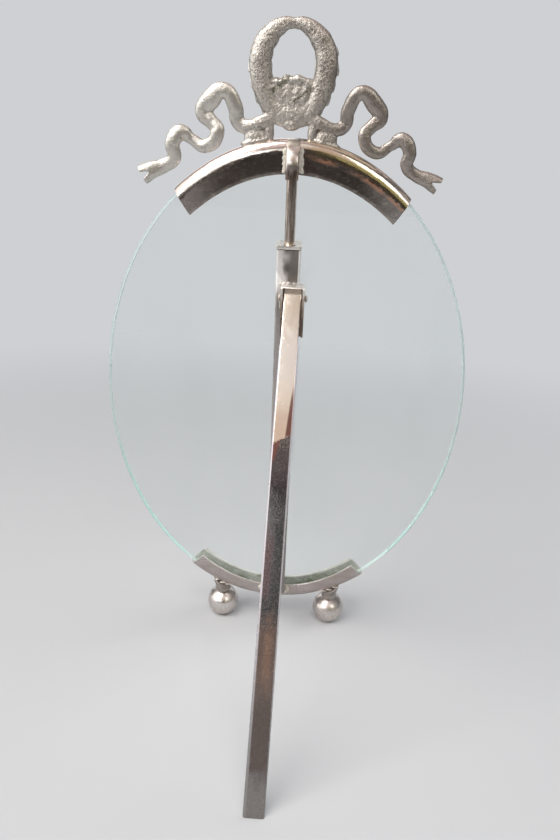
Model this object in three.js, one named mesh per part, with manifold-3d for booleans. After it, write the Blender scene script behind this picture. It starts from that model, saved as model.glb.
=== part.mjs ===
// Oval photo frame with a sprung spine and an easel leg.
// Millimetres, +Z up. The picture side faces -Y and the frame leans back towards +Y.

import * as THREE from 'three';
import { mergeVertices } from 'three/addons/utils/BufferGeometryUtils.js';
import Module from 'manifold-3d';

const wasm = await Module();
wasm.setup();

// Room left between pieces that touch, turn or slide on each other
const clearance = 0.3;

// How far a cutting form reaches past what it cuts
const overshoot = 1;

// How the frame stands
const leanAngle = THREE.MathUtils.degToRad(12);
const legAngle = THREE.MathUtils.degToRad(33);

// Oval glass with a bevel ground round its front
const glassWidth = 127;
const glassHeight = 178;
const glassThickness = 4;
const bevelWidth = 10.5;
const bevelDepth = 1.4;
const glassArris = 0.6;
const glassSegments = 84;

// Channel clips bent along the rim of the glass
const channelWall = 0.8;
const printRoom = 0.7;
const lipOverlap = 7.4;
const rimClearance = 0.35;
const shoulderRadius = 2.6;
const shoulderDrop = 4;
const topClipSpan = THREE.MathUtils.degToRad(70.4);
const bottomClipSpan = THREE.MathUtils.degToRad(66.8);
const clipSteps = 22;
const shoulderSegments = 3;

// Spine: a square tube, and the rod that slides in it
const tubeWidth = 7.3;
const tubeDepth = 7;
const tubeWall = 0.6;
const tubeCorner = 0.7;
const tubeTopDrop = 30.3;
const tubeBottomRise = 2.5;
const tubeMitre = 6.5;
const capThickness = 1.4;
const capOverhang = 0.3;
const rodDiameter = 3.2;
const rodEndDiameter = 2.2;
const rodChamfer = 0.6;
const roundSegments = 20;
const pinSegments = 14;
const sideSegments = 8;
const planSegments = 5;

// Strap and solder saddle that hold the rod to the top clip
const strapWidth = 3.4;
const strapThickness = 0.9;
const strapLength = 10.3;
const strapFront = 1.9;
const strapLead = 0.9;
const strapTip = 0.2;
const saddleWidth = 7.2;
const saddleStep = 1.6;

// Return spring with its washer and nut
const springLength = 38;
const springTurns = 13;
const springWire = 0.7;
const springSides = 3;
const springStepsPerTurn = 8;
const washerThickness = 0.8;
const nutHeight = 2.2;
const nutFlats = 4.4;

// Hinge hood, pin and easel leg
const hingeOffset = -2;
const hoodSheet = 0.6;
const hoodPlay = 0.15;
const hoodTopDrop = 38.4;
const hoodDepth = 6.2;
const hoodLength = 18;
const hoodToe = 1.4;
const hoodCorner = 1.4;
const pinDiameter = 1.6;
const pinHeadDiameter = 2.6;
const pinHeadThickness = 0.6;
const pinHeadCrown = 1.8;
const pivotDrop = 3.7;
const pivotStandoff = 3;
const legWidth = 5.9;
const legSkew = THREE.MathUtils.degToRad(0.75);
const legSheet = 0.7;
const legHeadInset = 0.35;
const legHeadLength = 15;
const legBack = 1.9;
const legFlange = 1.6;
const legCorner = 0.6;
const tongueLength = 15;
const tongueRun = 4;

// Ball feet on studs, with flared collars
const footSpread = 22.9;
const ballDiameter = 13.1;
const ballFlat = 0.25;
const neckLength = 5.3;
const collarDiameter = 7.6;
const collarPlate = 0.9;
const neckDiameter = 5.8;
const collarFlare = 0.8;
const studDiameter = 2.8;
const studDepth = 4;
const ballSegments = 24;

// Crest casting: wreath, bow, ribbons and the lugs it is soldered down by
const crestOffset = 1.2;
const wreathReach = 9.3;
const wreathRise = 29;
const wreathDepth = 3.8;
const wreathSteps = 18;
const branchWidth = 6.4;
const leafLength = 6.8;
const leafWidth = 3.7;
const leafThickness = 1.7;
const leafStations = 7;
const leafLead = 0.9;
const leafInset = 0.27;
const leafSplay = THREE.MathUtils.degToRad(24);
const leafSides = 6;
const ribbonReach = 45;
const ribbonRise = 17;
const ribbonWidth = 5.4;
const ribbonDepth = 2.2;
const ribbonWave = 0.5;
const ribbonSteps = 48;
const bandSides = 10;
const bandSquareness = 0.75;
const eggSides = 10;
const eggRows = 7;
const lugReach = 10.4;
const lugWidth = 9.2;
const lugDepth = 3.4;
const lugHeight = 6;
const lugRise = 0.8;
const notchWidth = 3.4;
const notchLength = 4.2;
const bowHeight = 6.4;
const bowDepth = 3.2;
const bowDrop = 2.6;
const knotWidth = 14;
const knotHeight = 7.8;
const dropWidth = 5.6;
const dropHeight = 3.8;
const lobeReach = 11.6;
const lobeWidth = 5;
const lobeHead = 0.42;

// One branch of the wreath: shares of its reach, width and rise
const branchPoints = [
  [0.17, 0.53, 0.16],
  [0.54, 0.72, 0.23],
  [0.82, 0.88, 0.37],
  [0.97, 0.97, 0.55],
  [1, 1, 0.7],
  [0.8, 0.9, 0.86],
  [0.34, 0.6, 0.98],
  [-0.05, 0.38, 1],
];

// One ribbon: shares of its reach, width and rise above the crown right under it
const ribbonPoints = [
  [0.09, 0.63, 0.37],
  [0.19, 0.65, 0.3],
  [0.276, 0.67, 0.26],
  [0.344, 0.72, 0.38],
  [0.364, 0.76, 0.65],
  [0.436, 0.72, 0.99],
  [0.522, 0.93, 0.95],
  [0.571, 0.85, 0.81],
  [0.522, 0.7, 0.6],
  [0.48, 0.72, 0.39],
  [0.564, 0.67, 0.25],
  [0.658, 0.54, 0.53],
  [0.724, 0.83, 0.765],
  [0.782, 0.76, 0.73],
  [0.776, 0.69, 0.47],
  [0.849, 0.7, 0.506],
  [0.933, 0.85, 0.68],
  [1, 1, 0.82],
];

// Bow lobes: direction from upright, shares of the lobes' reach and width
const bowLobes = [
  [-55, 0.76, 0.88],
  [-27, 1.02, 1.04],
  [-9.5, 1, 1],
  [9.5, 1, 1],
  [27, 1.02, 1.04],
  [55, 0.76, 0.88],
];

// Sizes that follow from the ones above
const rimX = glassWidth / 2;
const rimZ = glassHeight / 2;
const channelGap = glassThickness + clearance + printRoom;
const channelHalf = channelGap / 2 + channelWall;
const channelY = channelGap / 2 - glassThickness / 2 - clearance;
const channelRear = channelY + channelHalf;
const crownRise = rimClearance + channelWall;
const crownTop = rimZ + crownRise;
const tubeFront = channelRear + clearance;
const spineY = tubeFront + tubeDepth / 2;
const tubeRear = tubeFront + tubeDepth;
const tubeTop = rimZ - tubeTopDrop;
const tubeBottom = -rimZ + tubeBottomRise;
const rodRadius = rodDiameter / 2;
const rodEndRadius = rodEndDiameter / 2;
const strapInner = spineY + rodRadius + clearance;
const strapBottom = crownTop - strapLength;
const rodTop = strapBottom + strapLength / 2 - clearance;
const springTop = tubeTop - clearance;
const springBottom = springTop - springLength;
const rodShoulder = springBottom - clearance;
const washerTop = rodShoulder - clearance;
const nutTop = washerTop - washerThickness - clearance;
const rodBottom = nutTop - nutHeight - rodChamfer;
const pinRadius = pinDiameter / 2;
const hoodFront = tubeRear + clearance;
const hoodTop = rimZ - hoodTopDrop;
const pivotY = hoodFront + hoodSheet + pivotStandoff;
const pivotZ = hoodTop - hoodSheet - pivotDrop;
const hoodGap = legWidth - 2 * legHeadInset + 2 * (clearance + hoodPlay);
const hoodWidth = hoodGap + 2 * hoodSheet;
const legHeel = (pivotStandoff - clearance - legFlange * Math.cos(legAngle)) / Math.sin(legAngle);
const ballRadius = ballDiameter / 2;
const ballZ = -crownHeight(footSpread) - neckLength - ballRadius;
const floorDrop = ballRadius - ballFlat;
const plumbTilt = legAngle - leanAngle;
const floorZ = upright(channelY, ballZ) - floorDrop;
const pivotHeight = upright(pivotY, pivotZ) - floorZ;
const legLength = pivotHeight / Math.cos(plumbTilt) + legBack * Math.tan(plumbTilt);

// Finishes
const plated = { color: 0xb9b2a8, roughness: 0.18, metalness: 1 };
const cast = { color: 0xa8a39c, roughness: 0.45, metalness: 1 };
const solder = { color: 0xc4c0b8, roughness: 0.35, metalness: 1 };
const steel = { color: 0x8f8d88, roughness: 0.3, metalness: 1 };
const clearGlass = { color: 0xd5e8e2, roughness: 0.05, metalness: 0 };

// Height above the tilted frame's own floor direction, for a point of the middle plane
function upright(y, z) {
  return z * Math.cos(leanAngle) - y * Math.sin(leanAngle);
}

// Height of the clips' outer line above the oval's long middle, at a distance across
function crownHeight(across) {
  return (rimZ + crownRise) * Math.sqrt(1 - (across / (rimX + crownRise)) ** 2);
}

// Slope of the clips' outer line at a distance across
function crownTilt(across) {
  const sideways = across / (rimX + crownRise) ** 2;
  return Math.atan2(sideways, crownHeight(across) / (rimZ + crownRise) ** 2);
}

// Geometry with shared corners and no collapsed triangles
function weld(geometry) {
  const bare = geometry.clone();
  bare.deleteAttribute('normal');
  bare.deleteAttribute('uv');
  const merged = mergeVertices(bare, 1e-4);
  const kept = [];
  const index = merged.index.array;
  for (let i = 0; i < index.length; i += 3) {
    const [a, b, c] = index.slice(i, i + 3);
    if (a !== b && b !== c && c !== a) kept.push(a, b, c);
  }
  merged.setIndex(kept);
  return merged;
}

function toSolid(geometry) {
  const welded = weld(geometry);
  return new wasm.Manifold(new wasm.Mesh({
    numProp: 3,
    vertProperties: new Float32Array(welded.attributes.position.array),
    triVerts: new Uint32Array(welded.index.array),
  }));
}

function toGeometry(solid) {
  const { vertProperties, triVerts } = solid.getMesh();
  const geometry = new THREE.BufferGeometry();
  geometry.setAttribute('position', new THREE.BufferAttribute(vertProperties, 3));
  geometry.setIndex(new THREE.BufferAttribute(triVerts, 1));
  return geometry;
}

function join(geometries) {
  return toGeometry(geometries.map(toSolid).reduce((whole, next) => whole.add(next)));
}

// Outer skin alone: a pocket closed in between joined forms is solid metal
function filled(geometry) {
  const skins = toSolid(geometry).decompose();
  return toGeometry(skins.reduce((most, skin) => (skin.volume() > most.volume() ? skin : most)));
}

function cut(geometry, tools) {
  return toGeometry(tools.map(toSolid).reduce((whole, tool) => whole.subtract(tool), toSolid(geometry)));
}

function overlap(geometry, other) {
  return toGeometry(toSolid(geometry).intersect(toSolid(other)));
}

// Closed solid through rings of equal counts, each turning right-handed along the way
function loft(rings) {
  const count = rings[0].length;
  const last = (rings.length - 1) * count;
  const index = [];
  for (let start = 0; start < last; start += count) {
    for (let j = 0; j < count; j++) {
      const a = start + j;
      const b = start + (j + 1) % count;
      index.push(a, b, a + count, b, b + count, a + count);
    }
  }
  for (let j = 1; j + 1 < count; j++) {
    index.push(0, j + 1, j);
    index.push(last, last + j, last + j + 1);
  }
  const geometry = new THREE.BufferGeometry().setFromPoints(rings.flat());
  geometry.setIndex(index);
  return geometry;
}

// Side outline, drawn as depth and height, made solid to a width about the middle plane
function acrossX(shape, width) {
  const geometry = new THREE.ExtrudeGeometry(shape, {
    depth: width,
    bevelEnabled: false,
    curveSegments: sideSegments,
  });
  geometry.translate(0, 0, -width / 2);
  const turn = new THREE.Matrix4().makeBasis(
    new THREE.Vector3(0, 1, 0),
    new THREE.Vector3(0, 0, 1),
    new THREE.Vector3(1, 0, 0),
  );
  return geometry.applyMatrix4(turn);
}

// Plan outline raised from one height to another
function upFrom(shape, bottom, top) {
  const geometry = new THREE.ExtrudeGeometry(shape, {
    depth: top - bottom,
    bevelEnabled: false,
    curveSegments: planSegments,
  });
  return geometry.translate(0, 0, bottom);
}

// Round piece standing on the Z axis, from pairs of radius and height that begin and end on the axis
function turned(profile, segments = roundSegments) {
  const points = profile.map(([radius, height]) => new THREE.Vector2(radius, height));
  return new THREE.LatheGeometry(points, segments).rotateX(Math.PI / 2);
}

function roundBar(radius, bottom, top, segments = roundSegments) {
  return turned([[0, bottom], [radius, bottom], [radius, top], [0, top]], segments);
}

function boxBetween(low, high) {
  const box = new THREE.Box3(new THREE.Vector3(...low), new THREE.Vector3(...high));
  const size = box.getSize(new THREE.Vector3());
  const centre = box.getCenter(new THREE.Vector3());
  return new THREE.BoxGeometry(size.x, size.y, size.z).translate(centre.x, centre.y, centre.z);
}

function roundedRectangle(width, depth, radius, target = new THREE.Shape()) {
  const x = width / 2;
  const y = depth / 2;
  target.moveTo(x, radius - y);
  target.lineTo(x, y - radius);
  target.absarc(x - radius, y - radius, radius, 0, Math.PI / 2);
  target.lineTo(radius - x, y);
  target.absarc(radius - x, y - radius, radius, Math.PI / 2, Math.PI);
  target.lineTo(-x, radius - y);
  target.absarc(radius - x, radius - y, radius, Math.PI, Math.PI * 1.5);
  target.lineTo(x - radius, -y);
  target.absarc(x - radius, radius - y, radius, Math.PI * 1.5, Math.PI * 2);
  return target;
}

function roundHole(shape, radius) {
  shape.holes.push(new THREE.Path().absarc(0, 0, radius, 0, Math.PI * 2));
  return shape;
}

// Stretch of the glass rim, at the channels' depth, about a direction of the oval
class RimCurve extends THREE.Curve {
  constructor(middle, span) {
    super();
    this.start = middle - span / 2;
    this.span = span;
  }

  getPoint(t, target = new THREE.Vector3()) {
    const angle = this.start + this.span * t;
    return target.set(rimX * Math.cos(angle), channelY, rimZ * Math.sin(angle));
  }
}

class SpringCurve extends THREE.Curve {
  getPoint(t, target = new THREE.Vector3()) {
    const angle = 2 * Math.PI * springTurns * t;
    const radius = rodRadius + clearance + springWire / 2;
    const travel = springLength - springWire;
    return target.set(radius * Math.cos(angle), radius * Math.sin(angle), springWire / 2 + travel * t);
  }
}

// Ring of the oval at an offset from the rim and a depth, right-handed towards the rear
function ovalRing(offset, y) {
  const ring = [];
  for (let i = 0; i < glassSegments; i++) {
    const angle = (2 * Math.PI * i) / glassSegments;
    const normal = new THREE.Vector3(rimZ * Math.cos(angle), 0, -rimX * Math.sin(angle)).normalize();
    const point = new THREE.Vector3(rimX * Math.cos(angle), y, -rimZ * Math.sin(angle));
    ring.push(point.addScaledVector(normal, offset));
  }
  return ring;
}

function glassPlate() {
  const front = -glassThickness / 2;
  const rear = glassThickness / 2;
  return loft([
    ovalRing(-bevelWidth, front),
    ovalRing(0, front + bevelDepth),
    ovalRing(0, rear - glassArris),
    ovalRing(-glassArris, rear),
  ]);
}

// Section of a clip: outer line with rounded shoulders, then the inner line back to the start
function channelSection() {
  const inner = channelHalf - channelWall;
  const bend = channelHalf - shoulderRadius;
  const bendY = crownRise - shoulderDrop;
  const innerWide = shoulderRadius - channelWall;
  const innerHigh = shoulderDrop - channelWall;
  const shape = new THREE.Shape();
  shape.moveTo(channelHalf, -lipOverlap);
  shape.lineTo(channelHalf, bendY);
  shape.absellipse(bend, bendY, shoulderRadius, shoulderDrop, 0, Math.PI / 2);
  shape.lineTo(-bend, crownRise);
  shape.absellipse(-bend, bendY, shoulderRadius, shoulderDrop, Math.PI / 2, Math.PI);
  shape.lineTo(-channelHalf, -lipOverlap);
  shape.lineTo(-inner, -lipOverlap);
  shape.lineTo(-inner, bendY);
  shape.absellipse(-bend, bendY, innerWide, innerHigh, Math.PI, Math.PI / 2, true);
  shape.lineTo(bend, crownRise - channelWall);
  shape.absellipse(bend, bendY, innerWide, innerHigh, Math.PI / 2, 0, true);
  shape.lineTo(inner, -lipOverlap);
  return shape;
}

// Space that a clip takes up with its clearance, for what is seated on its crown
function seatSection() {
  const bend = channelHalf - shoulderRadius;
  const bendY = crownRise - shoulderDrop;
  const wide = shoulderRadius + clearance;
  const high = shoulderDrop + clearance;
  const shape = new THREE.Shape();
  shape.moveTo(bend + wide, -lipOverlap);
  shape.lineTo(bend + wide, bendY);
  shape.absellipse(bend, bendY, wide, high, 0, Math.PI / 2);
  shape.lineTo(-bend, bendY + high);
  shape.absellipse(-bend, bendY, wide, high, Math.PI / 2, Math.PI);
  shape.lineTo(-bend - wide, -lipOverlap);
  return shape;
}

function alongRim(section, middle, span) {
  return new THREE.ExtrudeGeometry(section, {
    steps: clipSteps,
    bevelEnabled: false,
    curveSegments: shoulderSegments,
    extrudePath: new RimCurve(middle, span),
  });
}

const topSeat = alongRim(seatSection(), Math.PI / 2, topClipSpan);
const bottomSeat = alongRim(seatSection(), -Math.PI / 2, bottomClipSpan);

// Strap: hammered thin on the crown, bends over the rear shoulder and covers the end of the rod
function rodStrap() {
  const low = crownTop + clearance;
  const bendY = strapFront;
  const bendZ = strapBottom + strapLength / 3;
  const inY = strapInner - bendY;
  const inZ = low - bendZ;
  const outer = strapInner + strapThickness;
  const shape = new THREE.Shape();
  shape.moveTo(channelY + strapLead, low);
  shape.lineTo(bendY, low);
  shape.absellipse(bendY, bendZ, inY, inZ, Math.PI / 2, 0, true);
  shape.lineTo(strapInner, strapBottom);
  shape.lineTo(outer, strapBottom);
  shape.lineTo(outer, bendZ);
  shape.absellipse(bendY, bendZ, inY + strapThickness, inZ + strapTip, 0, Math.PI / 2);
  shape.lineTo(channelY + strapLead, low + strapTip);
  return acrossX(shape, strapWidth);
}

// Saddle: solder that fills the space under the strap, with hollow fillets at its sides
function rodSaddle() {
  const bottom = strapBottom + clearance;
  const front = channelY;
  const bendZ = strapBottom + strapLength / 3;
  const side = new THREE.Shape();
  side.moveTo(channelRear + clearance, bottom);
  side.lineTo(spineY, bottom);
  side.lineTo(strapInner - clearance, bottom + saddleStep);
  side.lineTo(strapInner - clearance, bendZ);
  side.absellipse(strapFront, bendZ, strapInner - clearance - strapFront, crownTop - bendZ, 0, Math.PI / 2);
  side.lineTo(front, crownTop);
  side.lineTo(channelRear + clearance, crownTop - shoulderRadius);
  const half = saddleWidth / 2;
  const neck = strapWidth / 2;
  const plan = new THREE.Shape();
  plan.moveTo(-half, front);
  plan.lineTo(half, front);
  plan.lineTo(half, channelRear);
  plan.quadraticCurveTo(neck, channelRear, neck, strapInner);
  plan.lineTo(-neck, strapInner);
  plan.quadraticCurveTo(-neck, channelRear, -half, channelRear);
  const fillet = overlap(acrossX(side, saddleWidth), upFrom(plan, bottom, crownTop));
  const groove = roundBar(rodRadius + clearance, bottom - overshoot, rodTop + clearance);
  return cut(fillet, [topSeat, groove.translate(0, spineY, 0)]);
}

function tensionRod() {
  return turned([
    [0, rodBottom],
    [rodEndRadius, rodBottom],
    [rodEndRadius, rodShoulder],
    [rodRadius, rodShoulder],
    [rodRadius, rodTop - rodChamfer],
    [rodRadius - rodChamfer, rodTop],
    [0, rodTop],
  ]);
}

// Tube: its lower end is cut at a slant, up and away from the clip
function spineTube() {
  const shape = roundedRectangle(tubeWidth, tubeDepth, tubeCorner);
  const bore = [tubeWidth - 2 * tubeWall, tubeDepth - 2 * tubeWall, tubeCorner / 2];
  shape.holes.push(roundedRectangle(...bore, new THREE.Path()));
  const slant = new THREE.Shape();
  slant.moveTo(-tubeDepth, tubeBottom - overshoot);
  slant.lineTo(tubeDepth, tubeBottom - overshoot);
  slant.lineTo(tubeDepth, tubeBottom + tubeMitre + tubeMitre / 2);
  slant.lineTo(-tubeDepth / 2, tubeBottom);
  slant.lineTo(-tubeDepth, tubeBottom);
  return cut(upFrom(shape, tubeBottom, tubeTop), [acrossX(slant, tubeWidth + 2 * overshoot)]);
}

function tubeCap() {
  const shape = roundedRectangle(tubeWidth + 2 * capOverhang, tubeDepth + capOverhang, tubeCorner);
  roundHole(shape, rodRadius + clearance);
  return upFrom(shape, tubeTop + clearance, tubeTop + clearance + capThickness);
}

function tensionSpring() {
  const wire = new THREE.Shape().absarc(0, 0, springWire / 2, 0, Math.PI * 2);
  const geometry = new THREE.ExtrudeGeometry(wire, {
    steps: springTurns * springStepsPerTurn,
    bevelEnabled: false,
    curveSegments: springSides,
    extrudePath: new SpringCurve(),
  });
  return geometry.translate(0, 0, springBottom);
}

function springWasher() {
  const outer = rodRadius + clearance + springWire;
  const shape = new THREE.Shape().absarc(0, 0, outer, 0, Math.PI * 2);
  roundHole(shape, rodEndRadius + clearance);
  return upFrom(shape, washerTop - washerThickness, washerTop);
}

function rodNut() {
  const corner = nutFlats / Math.sqrt(3);
  const shape = new THREE.Shape();
  for (let i = 0; i < 6; i++) {
    const angle = (Math.PI * i) / 3;
    const draw = i ? 'lineTo' : 'moveTo';
    shape[draw](corner * Math.cos(angle), corner * Math.sin(angle));
  }
  roundHole(shape, rodEndRadius + clearance);
  return upFrom(shape, nutTop - nutHeight, nutTop);
}

// Bar across the hinge, at the pivot
function pivotBar(radius, length) {
  return roundBar(radius, -length / 2, length / 2, pinSegments).rotateY(Math.PI / 2);
}

// Hood: back plate, two cheeks that taper to a toe, and a bridge on top, folded from one sheet
function hingeHood() {
  const rear = hoodFront + hoodDepth;
  const toe = hoodTop - hoodLength;
  const shape = new THREE.Shape();
  shape.moveTo(hoodFront, toe);
  shape.lineTo(hoodFront + hoodToe, toe);
  shape.quadraticCurveTo(rear - hoodToe, pivotZ - pivotDrop, rear, pivotZ - pinDiameter);
  shape.lineTo(rear, hoodTop - hoodCorner);
  shape.absarc(rear - hoodCorner, hoodTop - hoodCorner, hoodCorner, 0, Math.PI / 2);
  shape.lineTo(hoodFront, hoodTop);
  const inside = boxBetween(
    [-hoodGap / 2, hoodFront + hoodSheet, toe - overshoot],
    [hoodGap / 2, rear + overshoot, hoodTop - hoodSheet],
  );
  const pinHole = pivotBar(pinRadius + clearance, hoodWidth + 2 * overshoot);
  const hood = cut(acrossX(shape, hoodWidth), [inside, pinHole.translate(0, pivotY, pivotZ)]);
  return hood.translate(hingeOffset, 0, 0);
}

// Pin with a riveted head at each end, outside the cheeks
function hingePin() {
  const inner = hoodWidth / 2 + clearance;
  const outer = inner + pinHeadThickness;
  const head = pinHeadDiameter / 2;
  const crown = pinHeadCrown / 2;
  const profile = [
    [0, -outer],
    [crown, -outer],
    [head, -inner],
    [pinRadius, -inner],
    [pinRadius, inner],
    [head, inner],
    [crown, outer],
    [0, outer],
  ];
  return turned(profile, pinSegments).rotateY(Math.PI / 2);
}

// Leg, drawn about its pivot and hanging down, a little askew as it does on its worn rivet:
// a channel, narrowed where it enters the hood, whose flanges run out above the foot
function easelLeg() {
  const half = legWidth / 2;
  const shape = new THREE.Shape();
  shape.moveTo(-half, -legFlange);
  shape.lineTo(legSheet - half, -legFlange);
  shape.lineTo(legSheet - half, legBack - legSheet);
  shape.lineTo(half - legSheet, legBack - legSheet);
  shape.lineTo(half - legSheet, -legFlange);
  shape.lineTo(half, -legFlange);
  shape.lineTo(half, legBack - legCorner);
  shape.absarc(half - legCorner, legBack - legCorner, legCorner, 0, Math.PI / 2);
  shape.lineTo(legCorner - half, legBack);
  shape.absarc(legCorner - half, legBack - legCorner, legCorner, Math.PI / 2, Math.PI);
  const channel = upFrom(shape, -legLength - legBack, legHeel);
  const runOut = new THREE.Shape();
  runOut.moveTo(-legFlange - overshoot, -legLength - legBack - overshoot);
  runOut.lineTo(legBack - legSheet, -legLength - legBack - overshoot);
  runOut.lineTo(legBack - legSheet, tongueLength - legLength);
  runOut.lineTo(-legFlange - overshoot, tongueLength + tongueRun - legLength);
  const flanks = [-1, 1].map((side) => {
    const flank = boxBetween(
      [half - legHeadInset, -legFlange - overshoot, -legHeadLength],
      [half + overshoot, legBack + overshoot, legHeel + overshoot],
    );
    return side > 0 ? flank : flank.rotateZ(Math.PI).translate(0, legBack - legFlange, 0);
  });
  const strut = cut(channel, [acrossX(runOut, legWidth + 2 * overshoot), ...flanks]);
  strut.rotateY(-legSkew);
  const belowFloor = boxBetween(
    [-2 * legWidth, -legLength, -legLength],
    [2 * legWidth, legLength, -pivotHeight],
  );
  const pinHole = pivotBar(pinRadius + clearance, legWidth + 2 * overshoot);
  return cut(strut, [belowFloor.rotateX(-plumbTilt), pinHole]);
}

// Ball with a blind hole for its stud and a small flat filed level with the floor
function footBall() {
  const ball = new THREE.SphereGeometry(ballRadius, ballSegments, ballSegments / 2).rotateX(Math.PI / 2);
  const holeTop = ballRadius + overshoot;
  const hole = roundBar(studDiameter / 2 + clearance, ballRadius - studDepth, holeTop, pinSegments);
  const below = boxBetween(
    [-ballRadius, -ballRadius, -2 * ballRadius],
    [ballRadius, ballRadius, -floorDrop],
  );
  return cut(ball, [hole, below.rotateX(leanAngle)]);
}

// Collar: a plate that follows the slope of the clip, on a neck down to the ball
function footCollar(across) {
  const seatZ = -crownHeight(across);
  const ballTop = ballZ + ballRadius;
  const tilt = -crownTilt(across);
  const plate = roundBar(collarDiameter / 2, -clearance - collarPlate, -clearance);
  plate.rotateY(tilt).translate(0, 0, seatZ);
  const above = boxBetween([-ballRadius, -ballRadius, -clearance], [ballRadius, ballRadius, ballRadius]);
  above.rotateY(tilt).translate(0, 0, seatZ);
  const waist = neckDiameter / 2;
  const neck = turned([
    [0, ballTop + clearance],
    [waist + collarFlare / 2, ballTop + clearance],
    [waist, ballTop + neckLength / 3],
    [waist + collarFlare, seatZ - collarPlate],
    [waist + collarFlare, seatZ + ballRadius / 2],
    [0, seatZ + ballRadius / 2],
  ]);
  const boreRadius = studDiameter / 2 + clearance;
  const bore = roundBar(boreRadius, ballTop - overshoot, seatZ + ballRadius, pinSegments);
  const collar = cut(join([plate, neck]), [above, bore]);
  return collar.translate(across, channelY, 0);
}

function footStud(across) {
  const bottom = ballZ + ballRadius - studDepth + clearance;
  const stud = roundBar(studDiameter / 2, bottom, -crownHeight(across) + crownRise, pinSegments);
  return cut(stud.translate(across, channelY, 0), [bottomSeat]);
}

const depthAxis = new THREE.Vector3(0, 1, 0);

// Smooth way through hand-set points, with the band's width carried beside its place
function bandPath(points) {
  const corners = points.map(([across, width, height]) => new THREE.Vector3(across, width, height));
  return new THREE.CatmullRomCurve3(corners);
}

function bandFrame(path, t) {
  const here = path.getPoint(t);
  const along = path.getTangent(t).setY(0).normalize();
  const sideways = new THREE.Vector3().crossVectors(depthAxis, along);
  return { centre: new THREE.Vector3(here.x, 0, here.z), width: here.y, along, sideways };
}

// Rounded flat band of changing width along a path, weaving in depth
function band(points, depth, steps, wave) {
  const path = bandPath(points);
  const soften = (value) => Math.sign(value) * Math.abs(value) ** bandSquareness;
  const rings = [];
  for (let i = 0; i <= steps; i++) {
    const t = i / steps;
    const { centre, width, sideways } = bandFrame(path, t);
    centre.y = channelY + wave * Math.sin(2 * Math.PI * (points.length - 1) * t / 4);
    const ring = [];
    for (let j = 0; j < bandSides; j++) {
      const angle = (2 * Math.PI * j) / bandSides;
      const point = centre.clone();
      point.addScaledVector(sideways, soften(Math.cos(angle)) * width / 2);
      point.addScaledVector(depthAxis, soften(Math.sin(angle)) * depth / 2);
      ring.push(point);
    }
    rings.push(ring);
  }
  return loft(rings);
}

// Pointed leaf lying along a direction of the frame's plane
function leaf(centre, along, size = 1) {
  const outline = [[0, -0.5], [0.34, -0.22], [0.5, 0.05], [0.3, 0.32], [0, 0.5]];
  const blade = new THREE.LatheGeometry(outline.map(([r, h]) => new THREE.Vector2(r, h)), leafSides);
  blade.scale(leafWidth * size, leafLength * size, leafThickness * size);
  const sideways = new THREE.Vector3().crossVectors(depthAxis, along);
  const turn = new THREE.Matrix4().makeBasis(sideways, along, depthAxis.clone().negate());
  return blade.applyMatrix4(turn.setPosition(centre));
}

// Leaves in pairs over the front of one branch, splayed to both edges
function branchLeaves(points) {
  const path = bandPath(points);
  const leaves = [];
  for (let i = 0; i < leafStations; i++) {
    const t = (i + leafLead) / (leafStations + leafLead);
    const { centre, width, along, sideways } = bandFrame(path, t);
    for (const side of [-1, 1]) {
      const place = centre.clone().addScaledVector(sideways, side * width * leafInset);
      place.y = channelY - wreathDepth / 2 + leafThickness / 3;
      const turned = along.clone().applyAxisAngle(depthAxis, -side * leafSplay);
      leaves.push(leaf(place, turned, width / branchWidth));
    }
  }
  return leaves;
}

// Egg of a width, depth and height
function egg(size, centre = [0, 0, 0]) {
  const ball = new THREE.SphereGeometry(0.5, eggSides, eggRows);
  return ball.scale(...size).translate(...centre);
}

// Bow at the foot of the wreath: full lobes that fan upwards from a knot
function bow() {
  const base = crownTop + bowHeight;
  const lobes = bowLobes.map(([degrees, reachShare, widthShare]) => {
    const reach = lobeReach * reachShare;
    const head = reach * lobeHead;
    const lobe = egg([lobeWidth * widthShare, bowDepth, 2 * head], [0, 0, reach - head]);
    lobe.rotateY(THREE.MathUtils.degToRad(degrees));
    return lobe.translate(0, channelY, base - bowDrop / 2);
  });
  const knot = egg([knotWidth, wreathDepth, knotHeight], [0, channelY, base]);
  const drop = egg([dropWidth, bowDepth, dropHeight], [0, channelY, base - bowDrop]);
  return [...lobes, knot, drop];
}

// Pad on the crown of the clip, under the root of a ribbon
function crestLug(side) {
  const pad = egg([lugWidth, lugDepth, lugHeight], [0, 0, lugRise]);
  pad.rotateY(side * crownTilt(lugReach));
  return pad.translate(side * lugReach, channelY, crownHeight(lugReach));
}

// Wedge that leaves the swallow tail at a ribbon's end
function tailNotch(points) {
  const { centre, along, sideways } = bandFrame(bandPath(points), 1);
  const notchDepth = 3 * ribbonDepth;
  const shape = new THREE.Shape();
  shape.moveTo(0, -notchLength);
  shape.lineTo(notchWidth / 2, overshoot / 2);
  shape.lineTo(-notchWidth / 2, overshoot / 2);
  const wedge = new THREE.ExtrudeGeometry(shape, { depth: notchDepth, bevelEnabled: false });
  wedge.translate(0, 0, -notchDepth / 2);
  const turn = new THREE.Matrix4().makeBasis(sideways, along, depthAxis.clone().negate());
  return wedge.applyMatrix4(turn.setPosition(centre.setY(channelY)));
}

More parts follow.
